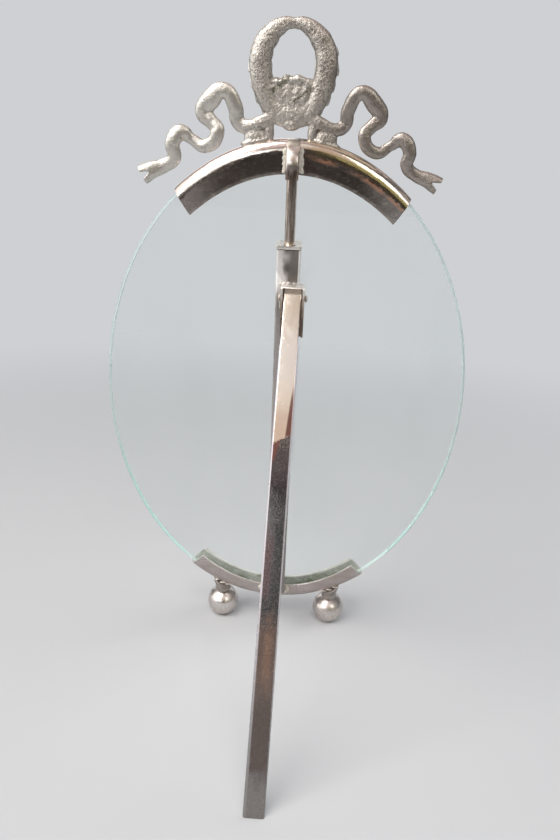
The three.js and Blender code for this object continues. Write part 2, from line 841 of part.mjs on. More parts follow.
// Casting, soldered to the clip a little off the middle
function crestCasting() {
  const pieces = bow();
  const notches = [];
  for (const side of [-1, 1]) {
    const branch = branchPoints.map(([reach, width, rise]) => [
      side * wreathReach * reach,
      branchWidth * width,
      crownTop + wreathRise * rise,
    ]);
    const ribbon = ribbonPoints.map(([reach, width, rise]) => [
      side * ribbonReach * reach,
      ribbonWidth * width,
      crownHeight(ribbonReach * reach) + ribbonRise * rise,
    ]);
    pieces.push(band(branch, wreathDepth, wreathSteps, 0), ...branchLeaves(branch));
    pieces.push(band(ribbon, ribbonDepth, ribbonSteps, ribbonWave), crestLug(side));
    notches.push(tailNotch(ribbon));
  }
  const whole = cut(filled(join(pieces)), notches).translate(crestOffset, 0, 0);
  return cut(whole, [topSeat]);
}

function piece(name, geometry, finish, place = [0, 0, 0]) {
  const mesh = new THREE.Mesh(weld(geometry), new THREE.MeshStandardMaterial(finish));
  mesh.name = name;
  mesh.position.set(...place);
  return mesh;
}

const onSpine = [0, spineY, 0];
const atPivot = [hingeOffset, pivotY, pivotZ];

const standing = new THREE.Group();
standing.rotation.x = -leanAngle;

standing.add(
  piece('glass_plate', glassPlate(), clearGlass),
  piece('top_clip', alongRim(channelSection(), Math.PI / 2, topClipSpan), plated),
  piece('bottom_clip', alongRim(channelSection(), -Math.PI / 2, bottomClipSpan), plated),
  piece('crest_casting', crestCasting(), cast),
  piece('rod_strap', rodStrap(), plated),
  piece('rod_saddle', rodSaddle(), solder),
  piece('tension_rod', tensionRod(), steel, onSpine),
  piece('spine_tube', spineTube(), plated, onSpine),
  piece('tube_cap', tubeCap(), plated, onSpine),
  piece('tension_spring', tensionSpring(), steel, onSpine),
  piece('spring_washer', springWasher(), steel, onSpine),
  piece('rod_nut', rodNut(), steel, onSpine),
  piece('hinge_hood', hingeHood(), plated),
  piece('hinge_pin', hingePin(), steel, atPivot),
);

const leg = new THREE.Group();
leg.position.set(...atPivot);
leg.rotation.x = legAngle;
leg.add(piece('easel_leg', easelLeg(), plated));
standing.add(leg);

for (const [name, across] of [['right', footSpread], ['left', -footSpread]]) {
  standing.add(
    piece(`foot_ball_${name}`, footBall(), plated, [across, channelY, ballZ]),
    piece(`foot_collar_${name}`, footCollar(across), plated),
    piece(`foot_stud_${name}`, footStud(across), steel),
  );
}

// The origin lies on the floor, under the middle of the whole object
const photoFrame = new THREE.Group();
photoFrame.add(standing);
photoFrame.updateMatrixWorld(true);
const extent = new THREE.Box3().setFromObject(photoFrame, true);
const middle = extent.getCenter(new THREE.Vector3());
standing.position.set(0, -middle.y, -floorZ);
photoFrame.updateMatrixWorld(true);

export default photoFrame;
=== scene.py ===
from math import atan2, cos, hypot, pi, radians, sin, sqrt
from random import Random

import bmesh
import bpy
import numpy as np
from mathutils import Matrix, Vector, noise


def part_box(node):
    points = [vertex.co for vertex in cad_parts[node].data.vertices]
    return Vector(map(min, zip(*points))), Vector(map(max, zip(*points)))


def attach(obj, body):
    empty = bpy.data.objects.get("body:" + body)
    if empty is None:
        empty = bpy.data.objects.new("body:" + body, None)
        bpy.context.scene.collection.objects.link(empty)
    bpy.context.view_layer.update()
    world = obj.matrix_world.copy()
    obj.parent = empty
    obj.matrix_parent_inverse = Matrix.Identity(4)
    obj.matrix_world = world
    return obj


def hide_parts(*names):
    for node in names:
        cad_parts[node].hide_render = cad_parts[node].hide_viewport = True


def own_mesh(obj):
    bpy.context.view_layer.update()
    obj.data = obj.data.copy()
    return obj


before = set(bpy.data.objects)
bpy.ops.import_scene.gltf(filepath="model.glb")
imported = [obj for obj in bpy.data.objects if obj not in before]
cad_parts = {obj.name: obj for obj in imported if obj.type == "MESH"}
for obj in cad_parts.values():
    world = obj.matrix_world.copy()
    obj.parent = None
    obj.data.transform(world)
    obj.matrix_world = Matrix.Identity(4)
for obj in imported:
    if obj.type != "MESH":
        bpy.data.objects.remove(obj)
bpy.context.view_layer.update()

scene = bpy.context.scene
scene.view_settings.view_transform = "Standard"

# The frame leans back. Pieces are made upright in millimetres, about the middle of the oval glass,
# and the matrix "standing" leans them, makes them metres and hangs them from the hinge pin.
mm = 0.001
upright = {"lean": radians(12), "pinAcross": -2, "pinBack": 14.7, "pinUp": 46.3}
oval = {"halfWidth": 63.5, "halfHeight": 89, "clipRise": 1.15, "clipBack": 0.2}
spineBack = 7.3  # middle of rod and tube, behind the glass

leanTurn = Matrix.Rotation(-upright["lean"], 4, "X")
pinLow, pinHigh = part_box("hinge_pin")
pinInFrame = leanTurn @ Vector((upright["pinAcross"], upright["pinBack"], upright["pinUp"])) * mm
standing = Matrix.Translation((pinLow + pinHigh) / 2 - pinInFrame) @ leanTurn @ Matrix.Scale(mm, 4)


def crownHeight(across):  # top of the clips' outer line over the middle of the oval
    reach = across / (oval["halfWidth"] + oval["clipRise"])
    return (oval["halfHeight"] + oval["clipRise"]) * sqrt(1 - reach ** 2)


# Nodes: one wrapper for sockets, so that maths reads as maths, and one way to add any node


class Wire:
    def __init__(self, tree, node, out):
        self.tree = tree
        self.node = node
        self.socket = node.outputs[out]

    def also(self, out):
        return Wire(self.tree, self.node, out)

    def rising(self, low, high):  # 0 at low and 1 at high, softly
        limits = {"Value": self, "From Min": low, "From Max": high}
        return self.tree.node("ShaderNodeMapRange", limits, {"interpolation_type": "SMOOTHSTEP"})

    def within(self, start, risen, falling, end):  # 0, up to 1 and down to 0 again
        return self.rising(start, risen) * self.rising(end, falling)

    def __add__(self, other):
        return self.tree.math("ADD", self, other)

    def __sub__(self, other):
        return self.tree.math("SUBTRACT", self, other)

    def __rsub__(self, other):
        return self.tree.math("SUBTRACT", other, self)

    def __mul__(self, other):
        return self.tree.math("MULTIPLY", self, other)

    def __abs__(self):
        return self.tree.math("ABSOLUTE", self)

    __radd__ = __add__
    __rmul__ = __mul__


def opaque(colour):
    return colour if isinstance(colour, Wire) else (*colour, 1)


class Tree:
    def __init__(self, nodeTree):
        self.nodeTree = nodeTree

    def node(self, kind, inputs=None, settings=None, out=0):
        made = self.nodeTree.nodes.new(kind)
        for key, value in (settings or {}).items():
            setattr(made, key, value)
        for key, value in (inputs or {}).items():
            for one in value if isinstance(value, list) else [value]:
                if isinstance(one, Wire):
                    self.nodeTree.links.new(one.socket, made.inputs[key])
                else:
                    made.inputs[key].default_value = one
        return Wire(self, made, out) if made.outputs else made

    def math(self, operation, *values):
        return self.node("ShaderNodeMath", dict(enumerate(values)), {"operation": operation})

    def vector(self, operation, *values, out=0):
        return self.node("ShaderNodeVectorMath", dict(enumerate(values)), {"operation": operation}, out)

    def shapeOf(self, item):  # an object's geometry
        return self.node("GeometryNodeObjectInfo", {"Object": item}, out="Geometry")

    def sweep(self, path, section, **more):
        ends = {"Curve": path, "Profile Curve": section, "Fill Caps": True, **more}
        return self.node("GeometryNodeCurveToMesh", ends)


class Finish(Tree):
    def __init__(self, name, slot):
        self.material = bpy.data.materials.new(name)
        self.material.use_nodes = True
        self.slot = slot
        self.where = None
        super().__init__(self.material.node_tree)
        self.nodeTree.nodes.clear()

    def place(self):  # upright millimetres, as the pieces are made
        if self.where is None:
            self.where = self.node("ShaderNodeMapping", {
                "Vector": self.node("ShaderNodeTexCoord", out="Object"),
                "Location": -(leanTurn.inverted() @ standing.translation / mm),
                "Rotation": (upright["lean"], 0, 0),
                "Scale": (1 / mm,) * 3,
            })
        return self.where

    def axes(self):  # across, back and up
        across = self.node("ShaderNodeSeparateXYZ", {0: self.place()})
        return across, across.also("Y"), across.also("Z")

    def outward(self):  # millimetres out from the rim of the glass
        reach = self.vector("MULTIPLY", self.place(), (1 / oval["halfWidth"], 0, 1 / oval["halfHeight"]))
        return (self.vector("LENGTH", reach, out="Value") - 1) * oval["halfHeight"]

    def patches(self, scale, detail, low, high):  # 0 to 1, from noise between two levels
        place = self.place()
        if isinstance(scale, tuple):  # drawn out along an axis
            place, scale = self.vector("MULTIPLY", place, scale), 1.0
        grain = self.node("ShaderNodeTexNoise", {"Vector": place, "Scale": scale, "Detail": detail})
        return grain.rising(low, high)

    def blend(self, share, first, second):  # colours as wires, or as red, green and blue
        pair = {6: opaque(first), 7: opaque(second)}
        return self.node("ShaderNodeMix", {0: share, **pair}, {"data_type": "RGBA"}, 2)

    def coated(self, colour, *coats):  # share and colour of each coat
        for share, coat in coats:
            colour = self.blend(share, colour, coat)
        return colour

    def relief(self, height):  # in millimetres
        return self.node("ShaderNodeBump", {"Height": height, "Distance": mm, "Strength": 1.0})

    def close(self, inputs, shadowless=False):
        skin = self.node("ShaderNodeBsdfPrincipled", inputs)
        if shadowless:  # light goes straight through
            path = self.node("ShaderNodeLightPath", out="Is Shadow Ray")
            gap = self.node("ShaderNodeBsdfTransparent")
            skin = self.node("ShaderNodeMixShader", {0: path, 1: skin, 2: gap})
        return self.shown(skin)

    def shown(self, skin):
        self.node("ShaderNodeOutputMaterial", {"Surface": skin})
        return self


# Plating: silver with clouds, streaks, specks and scratches; some pieces have stains of their own, and some
# have painted highlights, reflections and shade

mirrorLook = {
    "silver": (0.74, 0.71, 0.67), "warm": (0.62, 0.55, 0.50),
    "brown": (0.38, 0.30, 0.26), "dark": (0.12, 0.09, 0.08),
    "cloudSize": 0.07, "grain": (0.55, 0.55, 0.02), "scratch": (5.0, 5.0, 0.12),
    "clouding": 0.8, "streaking": 0.5, "speckling": 0.4, "polish": 0.07, "dents": 0.006,
}


def platedFinish(name, **changes):
    look = {**mirrorLook, **changes}
    finish = Finish(name, "plated_metal")
    clouds = finish.patches(look["cloudSize"], 4.0, 0.40, 0.62)
    streaks = finish.patches(look["grain"], 4.0, 0.42, 0.66)
    specks = finish.patches(1.3, 3.0, 0.62, 0.74)
    scratches = finish.patches(look["scratch"], 1.0, 0.62, 0.70)
    colour = finish.blend(clouds * look["clouding"], look["silver"], look["warm"])
    colour = finish.blend(streaks * look["streaking"], colour, look["brown"])
    film = scratches * 0.04
    if "tint" in look:
        colour, film = look["tint"](finish, colour)
    height = finish.patches(0.16, 1.0, 0.2, 0.8) * look["dents"] + specks * -0.006 + scratches * -0.003
    if "ripple" in look:
        height = height + finish.patches(0.5, 3.0, 0.2, 0.8) * look["ripple"]
    return finish.close({
        "Base Color": finish.blend(specks * look["speckling"], colour, look["dark"]),
        "Roughness": (
            look["polish"] + clouds * 0.05 + streaks * 0.06 + specks * 0.12 + scratches * 0.07 + film * 0.2
        ),
        "Normal": finish.relief(height),
        "Metallic": 1 - film,
    })


leg = {
    "angle": radians(33), "skew": 0.0131, "edge": 2.9,
    "spread": 1.08, "spreadFrom": 34, "spreadOver": 8,  # broader below the hood
}


def legTint(finish, colour):  # cream above, dark below, mauve and rust stains, grey foot, painted highlights on the edges, painted shade under the hood
    across, back, up = finish.axes()
    ragged = finish.patches((0.45, 0.45, 0.09), 3.0, 0.25, 0.75)
    grain = finish.patches(2.6, 4.0, 0.44, 0.62)
    side = across - ((upright["pinUp"] - up) * leg["skew"] + upright["pinAcross"])
    height = up + ragged * 4
    slant = up + side * 0.45 + grain * 0.5
    cream = slant.rising(10.6, 11.2)
    bruise = (side + (up - 12) * 0.1).rising(-0.6, -1.1) * up.within(10.5, 12, 20, 26)
    red = (side + (up - 9.5) * 0.28).rising(0.5, 0.9) * slant.rising(5.4, 6.6) * (1 - cream)
    scraped = up.rising(7.2, 8.6) * side.rising(1.2, 0.6) * (1 - cream) * grain
    mauve = height.within(-30, -24, -14, -8) * side.rising(-0.6, 1.4)
    rust = height.within(-56, -46, -36, -28) * (0.6 + side.within(-2.0, -0.4, 0.2, 1.6) * 0.4)
    umber = height.within(-74, -68, -54, -42)
    foot = height.rising(-68, -74)
    dull = up.rising(0, -8) * (1 - foot)
    low = finish.coated(
        (0.13, 0.125, 0.13),
        (grain * 0.6, (0.24, 0.235, 0.24)),
        (mauve * (0.75 - grain * 0.25), (0.13, 0.065, 0.068)),
        (rust * 0.85, (0.30, 0.18, 0.125)),
        (umber * 0.8, (0.115, 0.085, 0.072)),
        (foot, (0.29, 0.27, 0.258)),
        (red * 0.85, (0.30, 0.155, 0.135)),
        (scraped * 0.4, (0.44, 0.42, 0.37)),
    )
    pale = finish.coated(
        (0.86, 0.80, 0.76),
        (up.rising(30, 12), (0.97, 0.87, 0.72)),
        # painted shade under the hood: the leg browner towards its top
        (height.rising(36, 46) * (0.45 + grain * 0.3), (0.56, 0.45, 0.34)),
        (bruise * 0.9, (0.20, 0.085, 0.075)),
    )
    turn, bent = leg["angle"], leg["edge"]
    depth = (back - upright["pinBack"]) * cos(turn) + (up - upright["pinUp"]) * sin(turn)
    rear = depth.rising(0.8, 1.1)
    # painted highlight: the leg's rounded edges drawn pale on its rear face, fading out towards the hood
    edge = side.rising(bent - 0.4, bent - 0.15) + side.rising(0.5 - bent, 0.25 - bent)
    edge = edge * up.rising(42, 36) * rear
    # colour of the painted edge highlight, dimmer towards the foot; the film below makes it show
    bright = finish.blend(up.rising(-20, -76), (0.60, 0.56, 0.59), (0.24, 0.23, 0.225))
    stained = finish.coated(low, (cream, pale), (edge, bright))
    film = (mauve + rust + umber + foot * 0.6) * 0.3 + dull * 0.25 + grain * 0.1 * (1 - cream)
    return finish.blend(rear, colour, stained), (film * (1 - edge) + edge * 0.75) * rear


def tubeTint(finish, colour):  # pale on the left and dark on the right, painted reflections; a painted highlight on the right edge, a painted glint low on the left and painted shade below the hood
    across, back, up = finish.axes()
    cloud = finish.patches((0.3, 0.3, 0.14), 4.0, 0.35, 0.65)
    # painted reflection: the left side pale, and the dark base stands for the dark reflected on the right
    left = (across + cloud * 1.6).rising(0.2, 3.0)
    # painted shade below the hood: darker lower down
    below = up.rising(50, 44)
    # painted highlight along the right edge
    edge = across.rising(-3.0, -3.25) * back.rising(9.9, 10.2) * (1 - below)
    # painted glint, low on the left
    glint = (up - across + cloud * 2).rising(51.5, 49) * across.rising(0, 1.5)
    colour = finish.coated(
        (0.27, 0.25, 0.235),
        (left * 0.75, (0.80, 0.76, 0.75)),
        (glint, (0.96, 0.93, 0.90)),
        (below * 0.75, (0.34, 0.31, 0.30)),
        (edge * 0.9, (0.95, 0.92, 0.88)),
    )
    return colour, cloud * 0.15 + 0.1 + (edge + left) * (1 - below) * 0.45


def strapTint(finish, colour):  # darker towards its lower end: a painted shadow
    up = finish.axes()[2]
    cloud = finish.patches((0.9, 0.9, 0.2), 4.0, 0.35, 0.65)
    # painted shadow over the strap's lower end
    low = (up + cloud * 1.5).rising(83.6, 81.8)
    return finish.blend(low * 0.85, colour, (0.22, 0.16, 0.13)), cloud * 0.1


def hoodTint(finish, colour):  # brown below; white at the bridge, a painted highlight on the hood's top
    up = finish.axes()[2]
    cloud = finish.patches(0.6, 5.0, 0.36, 0.62)
    colour = finish.coated(
        (0.60, 0.52, 0.44),
        (cloud * 0.7, (0.30, 0.23, 0.17)),
        ((up + cloud * 3).rising(46, 40) * 0.8, (0.13, 0.09, 0.07)),
        # painted highlight: the bridge on the hood's top drawn white
        ((up + cloud * 2).rising(47, 50) * 0.85, (0.90, 0.87, 0.82)),
    )
    return colour, cloud * 0.25 + 0.1


def clipTint(finish, colour):  # pink crown, gold towards the right; dark rear wall with paler ends, a painted reflection of a dark room; on the right an olive band, a painted reflection of green outside, and rust lines
    across, back = finish.axes()[:2]
    mottle = finish.patches(0.35, 5.0, 0.36, 0.60)
    ragged = finish.patches(0.6, 3.0, 0.3, 0.7)
    streak = finish.patches((0.12, 0.5, 0.5), 4.0, 0.30, 0.62)
    level = finish.outward() + finish.patches(0.06, 2.0, 0.2, 0.8)
    rear = back.rising(oval["clipBack"] - 1.5, oval["clipBack"] + 0.5)
    wall = (level + ragged * 0.8).rising(-1.7, -2.3) * rear
    right = across.rising(0, -8) * rear
    ends = abs(across).rising(18, 35)
    # painted reflection: the rear wall dark where it mirrors a dark room, paler towards the ends
    paintedWallReflection = finish.blend(ends, (0.14, 0.115, 0.10), (0.30, 0.27, 0.255))
    crown = finish.blend(right * across.rising(-32, -18), (0.80, 0.67, 0.64), (0.80, 0.69, 0.50))
    # painted reflection of green outside: an olive band on the right shoulder
    paintedOliveReflection = level.within(-2.3, -1.7, -0.8, 0.2)
    rust = level.within(-3.9, -3.0, -2.4, -1.9) * streak
    colour = finish.coated(
        colour,
        (level.rising(-1.1, -0.4) * rear * 0.6, crown),
        (wall * (mottle * 0.3 + 0.62), paintedWallReflection),
        (right * paintedOliveReflection * 0.65, (0.60, 0.52, 0.27)),
        (right * rust * 0.8, (0.52, 0.25, 0.14)),
    )
    return colour, wall * (mottle * 0.12 + ends * 0.25 + right * rust * 0.35)


topClipFinish = platedFinish(
    "topClipPlating", grain=(0.10, 0.3, 0.22), scratch=(0.5, 4.0, 4.0), streaking=0.35,
    polish=0.09, dents=0.02, ripple=0.02, tint=clipTint,
)
bottomClipFinish = platedFinish(
    "bottomClipPlating", silver=(0.62, 0.57, 0.555), warm=(0.54, 0.48, 0.465),
    grain=(0.10, 0.3, 0.3), scratch=(0.4, 4.0, 4.0), streaking=0.25, polish=0.27, dents=0.02,
)
strapFinish = platedFinish("strapPlating", polish=0.18, streaking=0.3, tint=strapTint)
tubeFinish = platedFinish("tubePlating", polish=0.24, tint=tubeTint)
hoodFinish = platedFinish("hoodPlating", polish=0.22, tint=hoodTint)
legFinish = platedFinish(
    "legPlating", silver=(0.50, 0.44, 0.41), warm=(0.38, 0.31, 0.28), brown=(0.20, 0.14, 0.12),
    grain=(0.7, 0.7, 0.03), streaking=0.7, speckling=0.15, polish=0.10, dents=0.004, tint=legTint,
)
ballFinish = platedFinish(
    "ballPlating", silver=(0.90, 0.87, 0.84), warm=(0.74, 0.68, 0.65),
    grain=(0.2, 0.2, 0.2), scratch=(2.0, 3.0, 4.0), streaking=0.15, polish=0.22, dents=0.012,
)
collarFinish = platedFinish(
    "collarPlating", silver=(0.54, 0.52, 0.50), warm=(0.42, 0.39, 0.37), polish=0.28, dents=0.012,
)


# Other finishes


def liningFinish(name, look):  # inside of a channel: dull, with verdigris, and a painted highlight along the lip
    finish = Finish(name, "plated_metal")
    across = finish.axes()[0]
    bloom = finish.patches(0.16, 5.0, 0.40, 0.64) * (abs(across).rising(27, 8) * 0.7 + 0.3)
    crust = finish.patches(0.7, 4.0, 0.48, 0.66)
    # painted highlight: the lining pale along the channel's lip
    lip = finish.outward().rising(look["lipAt"] + 0.15, look["lipAt"] - 0.15)
    return finish.close({
        "Base Color": finish.coated(
            look["grey"],
            (bloom, look["green"]),
            (crust * 0.6, look["pale"]),
            (lip * (0.9 - bloom * 0.4), look["lip"]),
        ),
        "Roughness": look["polish"] + crust * 0.2,
        "Metallic": 0.35 - crust * 0.2,
        "Normal": finish.relief(crust * 0.03),
    })


def castFinish(name, look):
    finish = Finish(name, "cast_metal")
    across, back, up = finish.axes()
    hollow = finish.node("ShaderNodeAttribute", {}, {"attribute_name": "hollow"}, "Fac")
    side = across - look["cupMiddle"]
    rear = back.rising(oval["clipBack"] - 0.8, oval["clipBack"] + 0.2)
    coarse = side.rising(16, 9) * across.rising(-15, -8) * rear
    clouds = finish.patches(0.13, 4.0, 0.38, 0.62)
    grains = finish.patches(2.2, 3.0, 0.36, 0.66) * (0.35 + coarse * 0.65)
    pits = finish.patches(0.85, 2.0, 0.65, 0.73)
    grit = finish.patches(1.5, 4.0, 0.50, 0.66)
    # painted shade: the right side browner, away from the light, mostly on the rear
    brown = (across + clouds * 12).rising(16, -14) * (0.25 + rear * 0.75)
    # painted highlight: the bow's top rim drawn back to silver
    paintedRimHighlight = abs(side).rising(8.5, 5) * up.rising(107, 104) * rear
    # painted shadow: a dark green band under the bow's rim, placed by cupMiddle and cupUp
    high, low = look["cupUp"]
    depth = abs(up + side * 0.75 - side.rising(-0.6, 0.2) * (high - low) - low)
    cup = (depth + clouds * 0.6 + grains * 0.9).rising(2.0, 0.6)
    cup = cup * abs(side).rising(6.4, 5.2) * back.rising(0, 0.6)
    return finish.close({
        "Base Color": finish.coated(
            look["silver"],
            (brown * 0.75, look["warm"]),
            (coarse * 0.4, look["warm"]),
            (grains * 0.5, look["pale"]),
            (grit * (0.2 + coarse * 0.45), look["grit"]),
            (pits * 0.6, look["dark"]),
            (paintedRimHighlight * 0.35, look["silver"]),
            (hollow * 0.75, look["dark"]),
            (cup * 0.75, look["cup"]),
        ),
        "Roughness": look["polish"] + grains * 0.14 + pits * 0.2 + hollow * 0.15 + coarse * 0.02,
        "Normal": finish.relief(grains * 0.03 + grit * -0.02 + pits * -0.05),
        "Metallic": 1.0,
    })


def solderFinish(name, look):
    finish = Finish(name, "solder")
    clouds = finish.patches(0.5, 3.0, 0.40, 0.60)
    frost = finish.patches(3.0, 3.0, 0.45, 0.65)
    return finish.close({
        "Base Color": finish.coated(look["pale"], (clouds * 0.6, look["grey"]), (frost * 0.3, look["dark"])),
        "Roughness": look["polish"] + frost * 0.15 + clouds * 0.1,
        "Normal": finish.relief(frost * 0.03 + clouds * 0.05),
        "Metallic": look["metal"],
    })


def steelFinish(name, look):
    finish = Finish(name, "steel")
    drawn = finish.patches((2.0, 2.0, 0.03), 3.0, 0.38, 0.62)
    stains = finish.patches((1.2, 1.2, 0.16), 5.0, 0.46, 0.62)
    return finish.close({
        "Base Color": finish.coated(look["bright"], (drawn * 0.7, look["tan"]), (stains * 0.6, look["dark"])),
        "Roughness": look["polish"] + drawn * 0.08 + stains * 0.12,
        "Normal": finish.relief(drawn * 0.012),
        "Metallic": 1.0,
    })


def glassFinish(name, look):
    finish = Finish(name, "glass")
    smears = finish.patches((0.05, 0.05, 0.02), 4.0, 0.45, 0.75)
    low = finish.axes()[2].within(-76, -66, -50, 0)
    return finish.close({
        "Base Color": finish.coated(look["above"], (low, look["below"]), (smears, look["smeared"])),
        "Roughness": look["polish"] + smears * look["smearing"],
        "Transmission Weight": look["passing"],
        "IOR": 1.5,
    }, shadowless=True)


# lip: colour of the painted highlight along the channel's lip, lipAt where it runs
channelFinish = liningFinish("channelLining", {
    "grey": (0.46, 0.455, 0.42), "green": (0.19, 0.21, 0.13), "pale": (0.58, 0.60, 0.53),
    "lip": (0.74, 0.72, 0.68), "lipAt": -6.85,  # from the rim of the glass
    "polish": 0.45,
})
# warm: the brown of the painted shade on the right side and of the darker middle; cup: the colour of the
# painted shadow under the bow's rim
crestFinish = castFinish("crestCast", {
    "silver": (0.76, 0.74, 0.69), "warm": (0.30, 0.25, 0.225), "pale": (0.68, 0.65, 0.60),
    "grit": (0.17, 0.15, 0.13), "dark": (0.10, 0.085, 0.07), "cup": (0.10, 0.10, 0.055),
    "cupMiddle": 1.2, "cupUp": (106.6, 99.4), "polish": 0.34,
})
beadFinish = solderFinish("softSolder", {
    "pale": (0.86, 0.83, 0.78), "grey": (0.60, 0.56, 0.52), "dark": (0.28, 0.24, 0.22),
    "polish": 0.28, "metal": 0.85,
})
saddleFinish = solderFinish("saddleSolder", {
    "pale": (0.84, 0.79, 0.70), "grey": (0.62, 0.56, 0.48), "dark": (0.24, 0.20, 0.17),
    "polish": 0.42, "metal": 0.3,
})
rodFinish = steelFinish("drawnRod", {
    "bright": (0.70, 0.62, 0.55), "tan": (0.36, 0.27, 0.21), "dark": (0.14, 0.10, 0.08), "polish": 0.11,
})
clearFinish = glassFinish("clearGlass", {
    "above": (0.955, 0.985, 0.975), "below": (0.955, 0.985, 0.975), "smeared": (0.93, 0.965, 0.955),
    "polish": 0.0, "smearing": 0.02, "passing": 1.0,
})
edgeFinish = glassFinish("groundEdge", {
    "above": (0.62, 0.74, 0.715), "below": (0.55, 0.84, 0.78), "smeared": (0.72, 0.85, 0.82),
    "polish": 0.22, "smearing": 0.15, "passing": 0.5,
})
print("finishes made:", len(bpy.data.materials))


# Meshes


def poured(work, mesh):  # a working copy put into its mesh
    work.to_mesh(mesh)
    work.free()
    return mesh


def placed(name, data):  # a new object in the scene
    host = bpy.data.objects.new(name, data)
    scene.collection.objects.link(host)
    return host


def tidied(mesh):  # doubles merged, faces outwards
    work = bmesh.new()
    work.from_mesh(mesh)
    bmesh.ops.remove_doubles(work, verts=work.verts, dist=0.001)
    bmesh.ops.recalc_face_normals(work, faces=work.faces)
    return poured(work, mesh)


def lofted(name, rings):
    count = len(rings[0])
    last = (len(rings) - 1) * count
    faces = [tuple(range(count)), tuple(range(last, last + count))]
    for start in range(0, last, count):
        for j in range(count):
            k = (j + 1) % count
            faces.append((start + j, start + k, start + count + k, start + count + j))
    mesh = bpy.data.meshes.new(name)
    mesh.from_pydata([tuple(point) for ring in rings for point in ring], [], faces)
    return tidied(mesh)


def turned(name, profile, middle, segments=56):  # profile in radius and height, about an upright line
    angles = [2 * pi * j / segments for j in range(segments)]
    across, back = middle
    return lofted(name, [
        [(across + radius * cos(a), back + radius * sin(a), height) for a in angles]
        for radius, height in profile
    ])


def settled(host):  # the evaluated shape as a plain mesh, its maker gone
    graph = bpy.context.evaluated_depsgraph_get()
    mesh = bpy.data.meshes.new_from_object(host.evaluated_get(graph))
    host.modifiers.clear()
    bpy.data.objects.remove(host)
    mesh.materials.clear()
    mesh.polygons.foreach_set("material_index", [0] * len(mesh.polygons))
    return mesh


def worked(mesh, steps):
    host = placed(mesh.name, mesh)
    for kind, settings in steps:
        modifier = host.modifiers.new(kind.lower(), kind)
        for key, value in settings.items():
            setattr(modifier, key, value)
    return settled(host)


def melted(voxel, rounds):  # steps that run parts together and soften them
    return [
        ("REMESH", {"mode": "VOXEL", "voxel_size": voxel}),
        ("SMOOTH", {"factor": 0.5, "iterations": rounds}),
    ]


def joined(name, meshes):
    work = bmesh.new()
    for mesh in meshes:
        work.from_mesh(mesh)
    return poured(work, bpy.data.meshes.new(name))


def copied(node):  # a CAD node's mesh, merged, upright and in millimetres
    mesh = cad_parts[node].data.copy()
    mesh.transform(standing.inverted())
    mesh.materials.clear()
    return tidied(mesh)


def rows(items, key, width, kind=np.float32):  # one attribute of a mesh's points or edges
    values = np.zeros(len(items) * width, kind)
    items.foreach_get(key, values)
    return values.reshape(-1, width)


def rippled(mesh, layers, within=None):  # moves the skin in and out by layers of noise: size and height
    points, normals = rows(mesh.vertices, "co", 3), rows(mesh.vertices, "normal", 3)
    shift = np.zeros(len(points), np.float32)
    for size, height in layers:
        shift += height * np.array([noise.noise(Vector(p) / size) for p in points.tolist()], np.float32)
    if within:  # only between two distances across and behind a third
        shift *= np.clip(np.minimum(points[:, 0] - within[0], within[1] - points[:, 0]) / 2, 0, 1)
        shift *= np.clip(points[:, 1] - within[2], 0, 1)
    mesh.vertices.foreach_set("co", (points + normals * shift[:, None]).ravel())
    mesh.update()
    return mesh


hollowRounds = 6  # how far the neighbours of a point reach


def hollowed(mesh, reach):  # marks how deep each point lies between its neighbours, 0 to 1
    points, normals = rows(mesh.vertices, "co", 3), rows(mesh.vertices, "normal", 3)
    ends = rows(mesh.edges, "vertices", 2, np.int32)
    share = np.bincount(ends.ravel(), minlength=len(points))[:, None]
    around = points.copy()
    for _ in range(hollowRounds):
        total = np.zeros_like(points)
        np.add.at(total, ends[:, 0], around[ends[:, 1]])
        np.add.at(total, ends[:, 1], around[ends[:, 0]])
        around = total / share
    depth = np.einsum("ij,ij->i", around - points, normals)
    mesh.attributes.new("hollow", "FLOAT", "POINT").data.foreach_set("value", np.clip(depth / reach, 0, 1))
    return mesh


def rounded(mesh, edge):  # flats made whole again and every sharp edge eased
    work = bmesh.new()
    work.from_mesh(mesh)
    bmesh.ops.dissolve_limit(work, angle_limit=radians(0.5), verts=work.verts, edges=work.edges)
    poured(work, mesh)
    easing = {"width": edge, "segments": 3, "limit_method": "ANGLE", "angle_limit": radians(40)}
    return worked(mesh, [("BEVEL", easing)])


def lumps(name, spots):  # across, back, up, three half sizes, and a lean from upright in degrees
    work = bmesh.new()
    for across, back, up, wide, deep, high, *lean in spots:
        turn = Matrix.Rotation(radians(sum(lean)), 4, "Y") @ Matrix.Diagonal((wide, deep, high, 1))
        place = Matrix.Translation((across, back, up))
        bmesh.ops.create_icosphere(work, subdivisions=3, radius=1, matrix=place @ turn)
    return poured(work, bpy.data.meshes.new(name))


def setOut(name, mesh, body, finishes, stands=(), crease=38):
    mesh.name = name
    mesh.transform(standing)
    mesh.shade_smooth()
    mesh.set_sharp_from_angle(angle=radians(crease))
    for finish in finishes:
        mesh.materials.append(finish.material)
    piece = placed(name, mesh)
    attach(piece, body)
    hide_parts(*stands)
    return piece


# Geometry Nodes: a group with named inputs, closed by Realize Instances and Set Material


def growth(name, sockets):
    group = bpy.data.node_groups.new(name, "GeometryNodeTree")
    for label, kind in {**sockets, "Finish": "Material"}.items():
        group.interface.new_socket(label, in_out="INPUT", socket_type="NodeSocket" + kind)
    group.interface.new_socket("Geometry", in_out="OUTPUT", socket_type="NodeSocketGeometry")
    tree = Tree(group)
    entry = tree.node("NodeGroupInput")
    return tree, {label: entry.also(label) for label in [*sockets, "Finish"]}


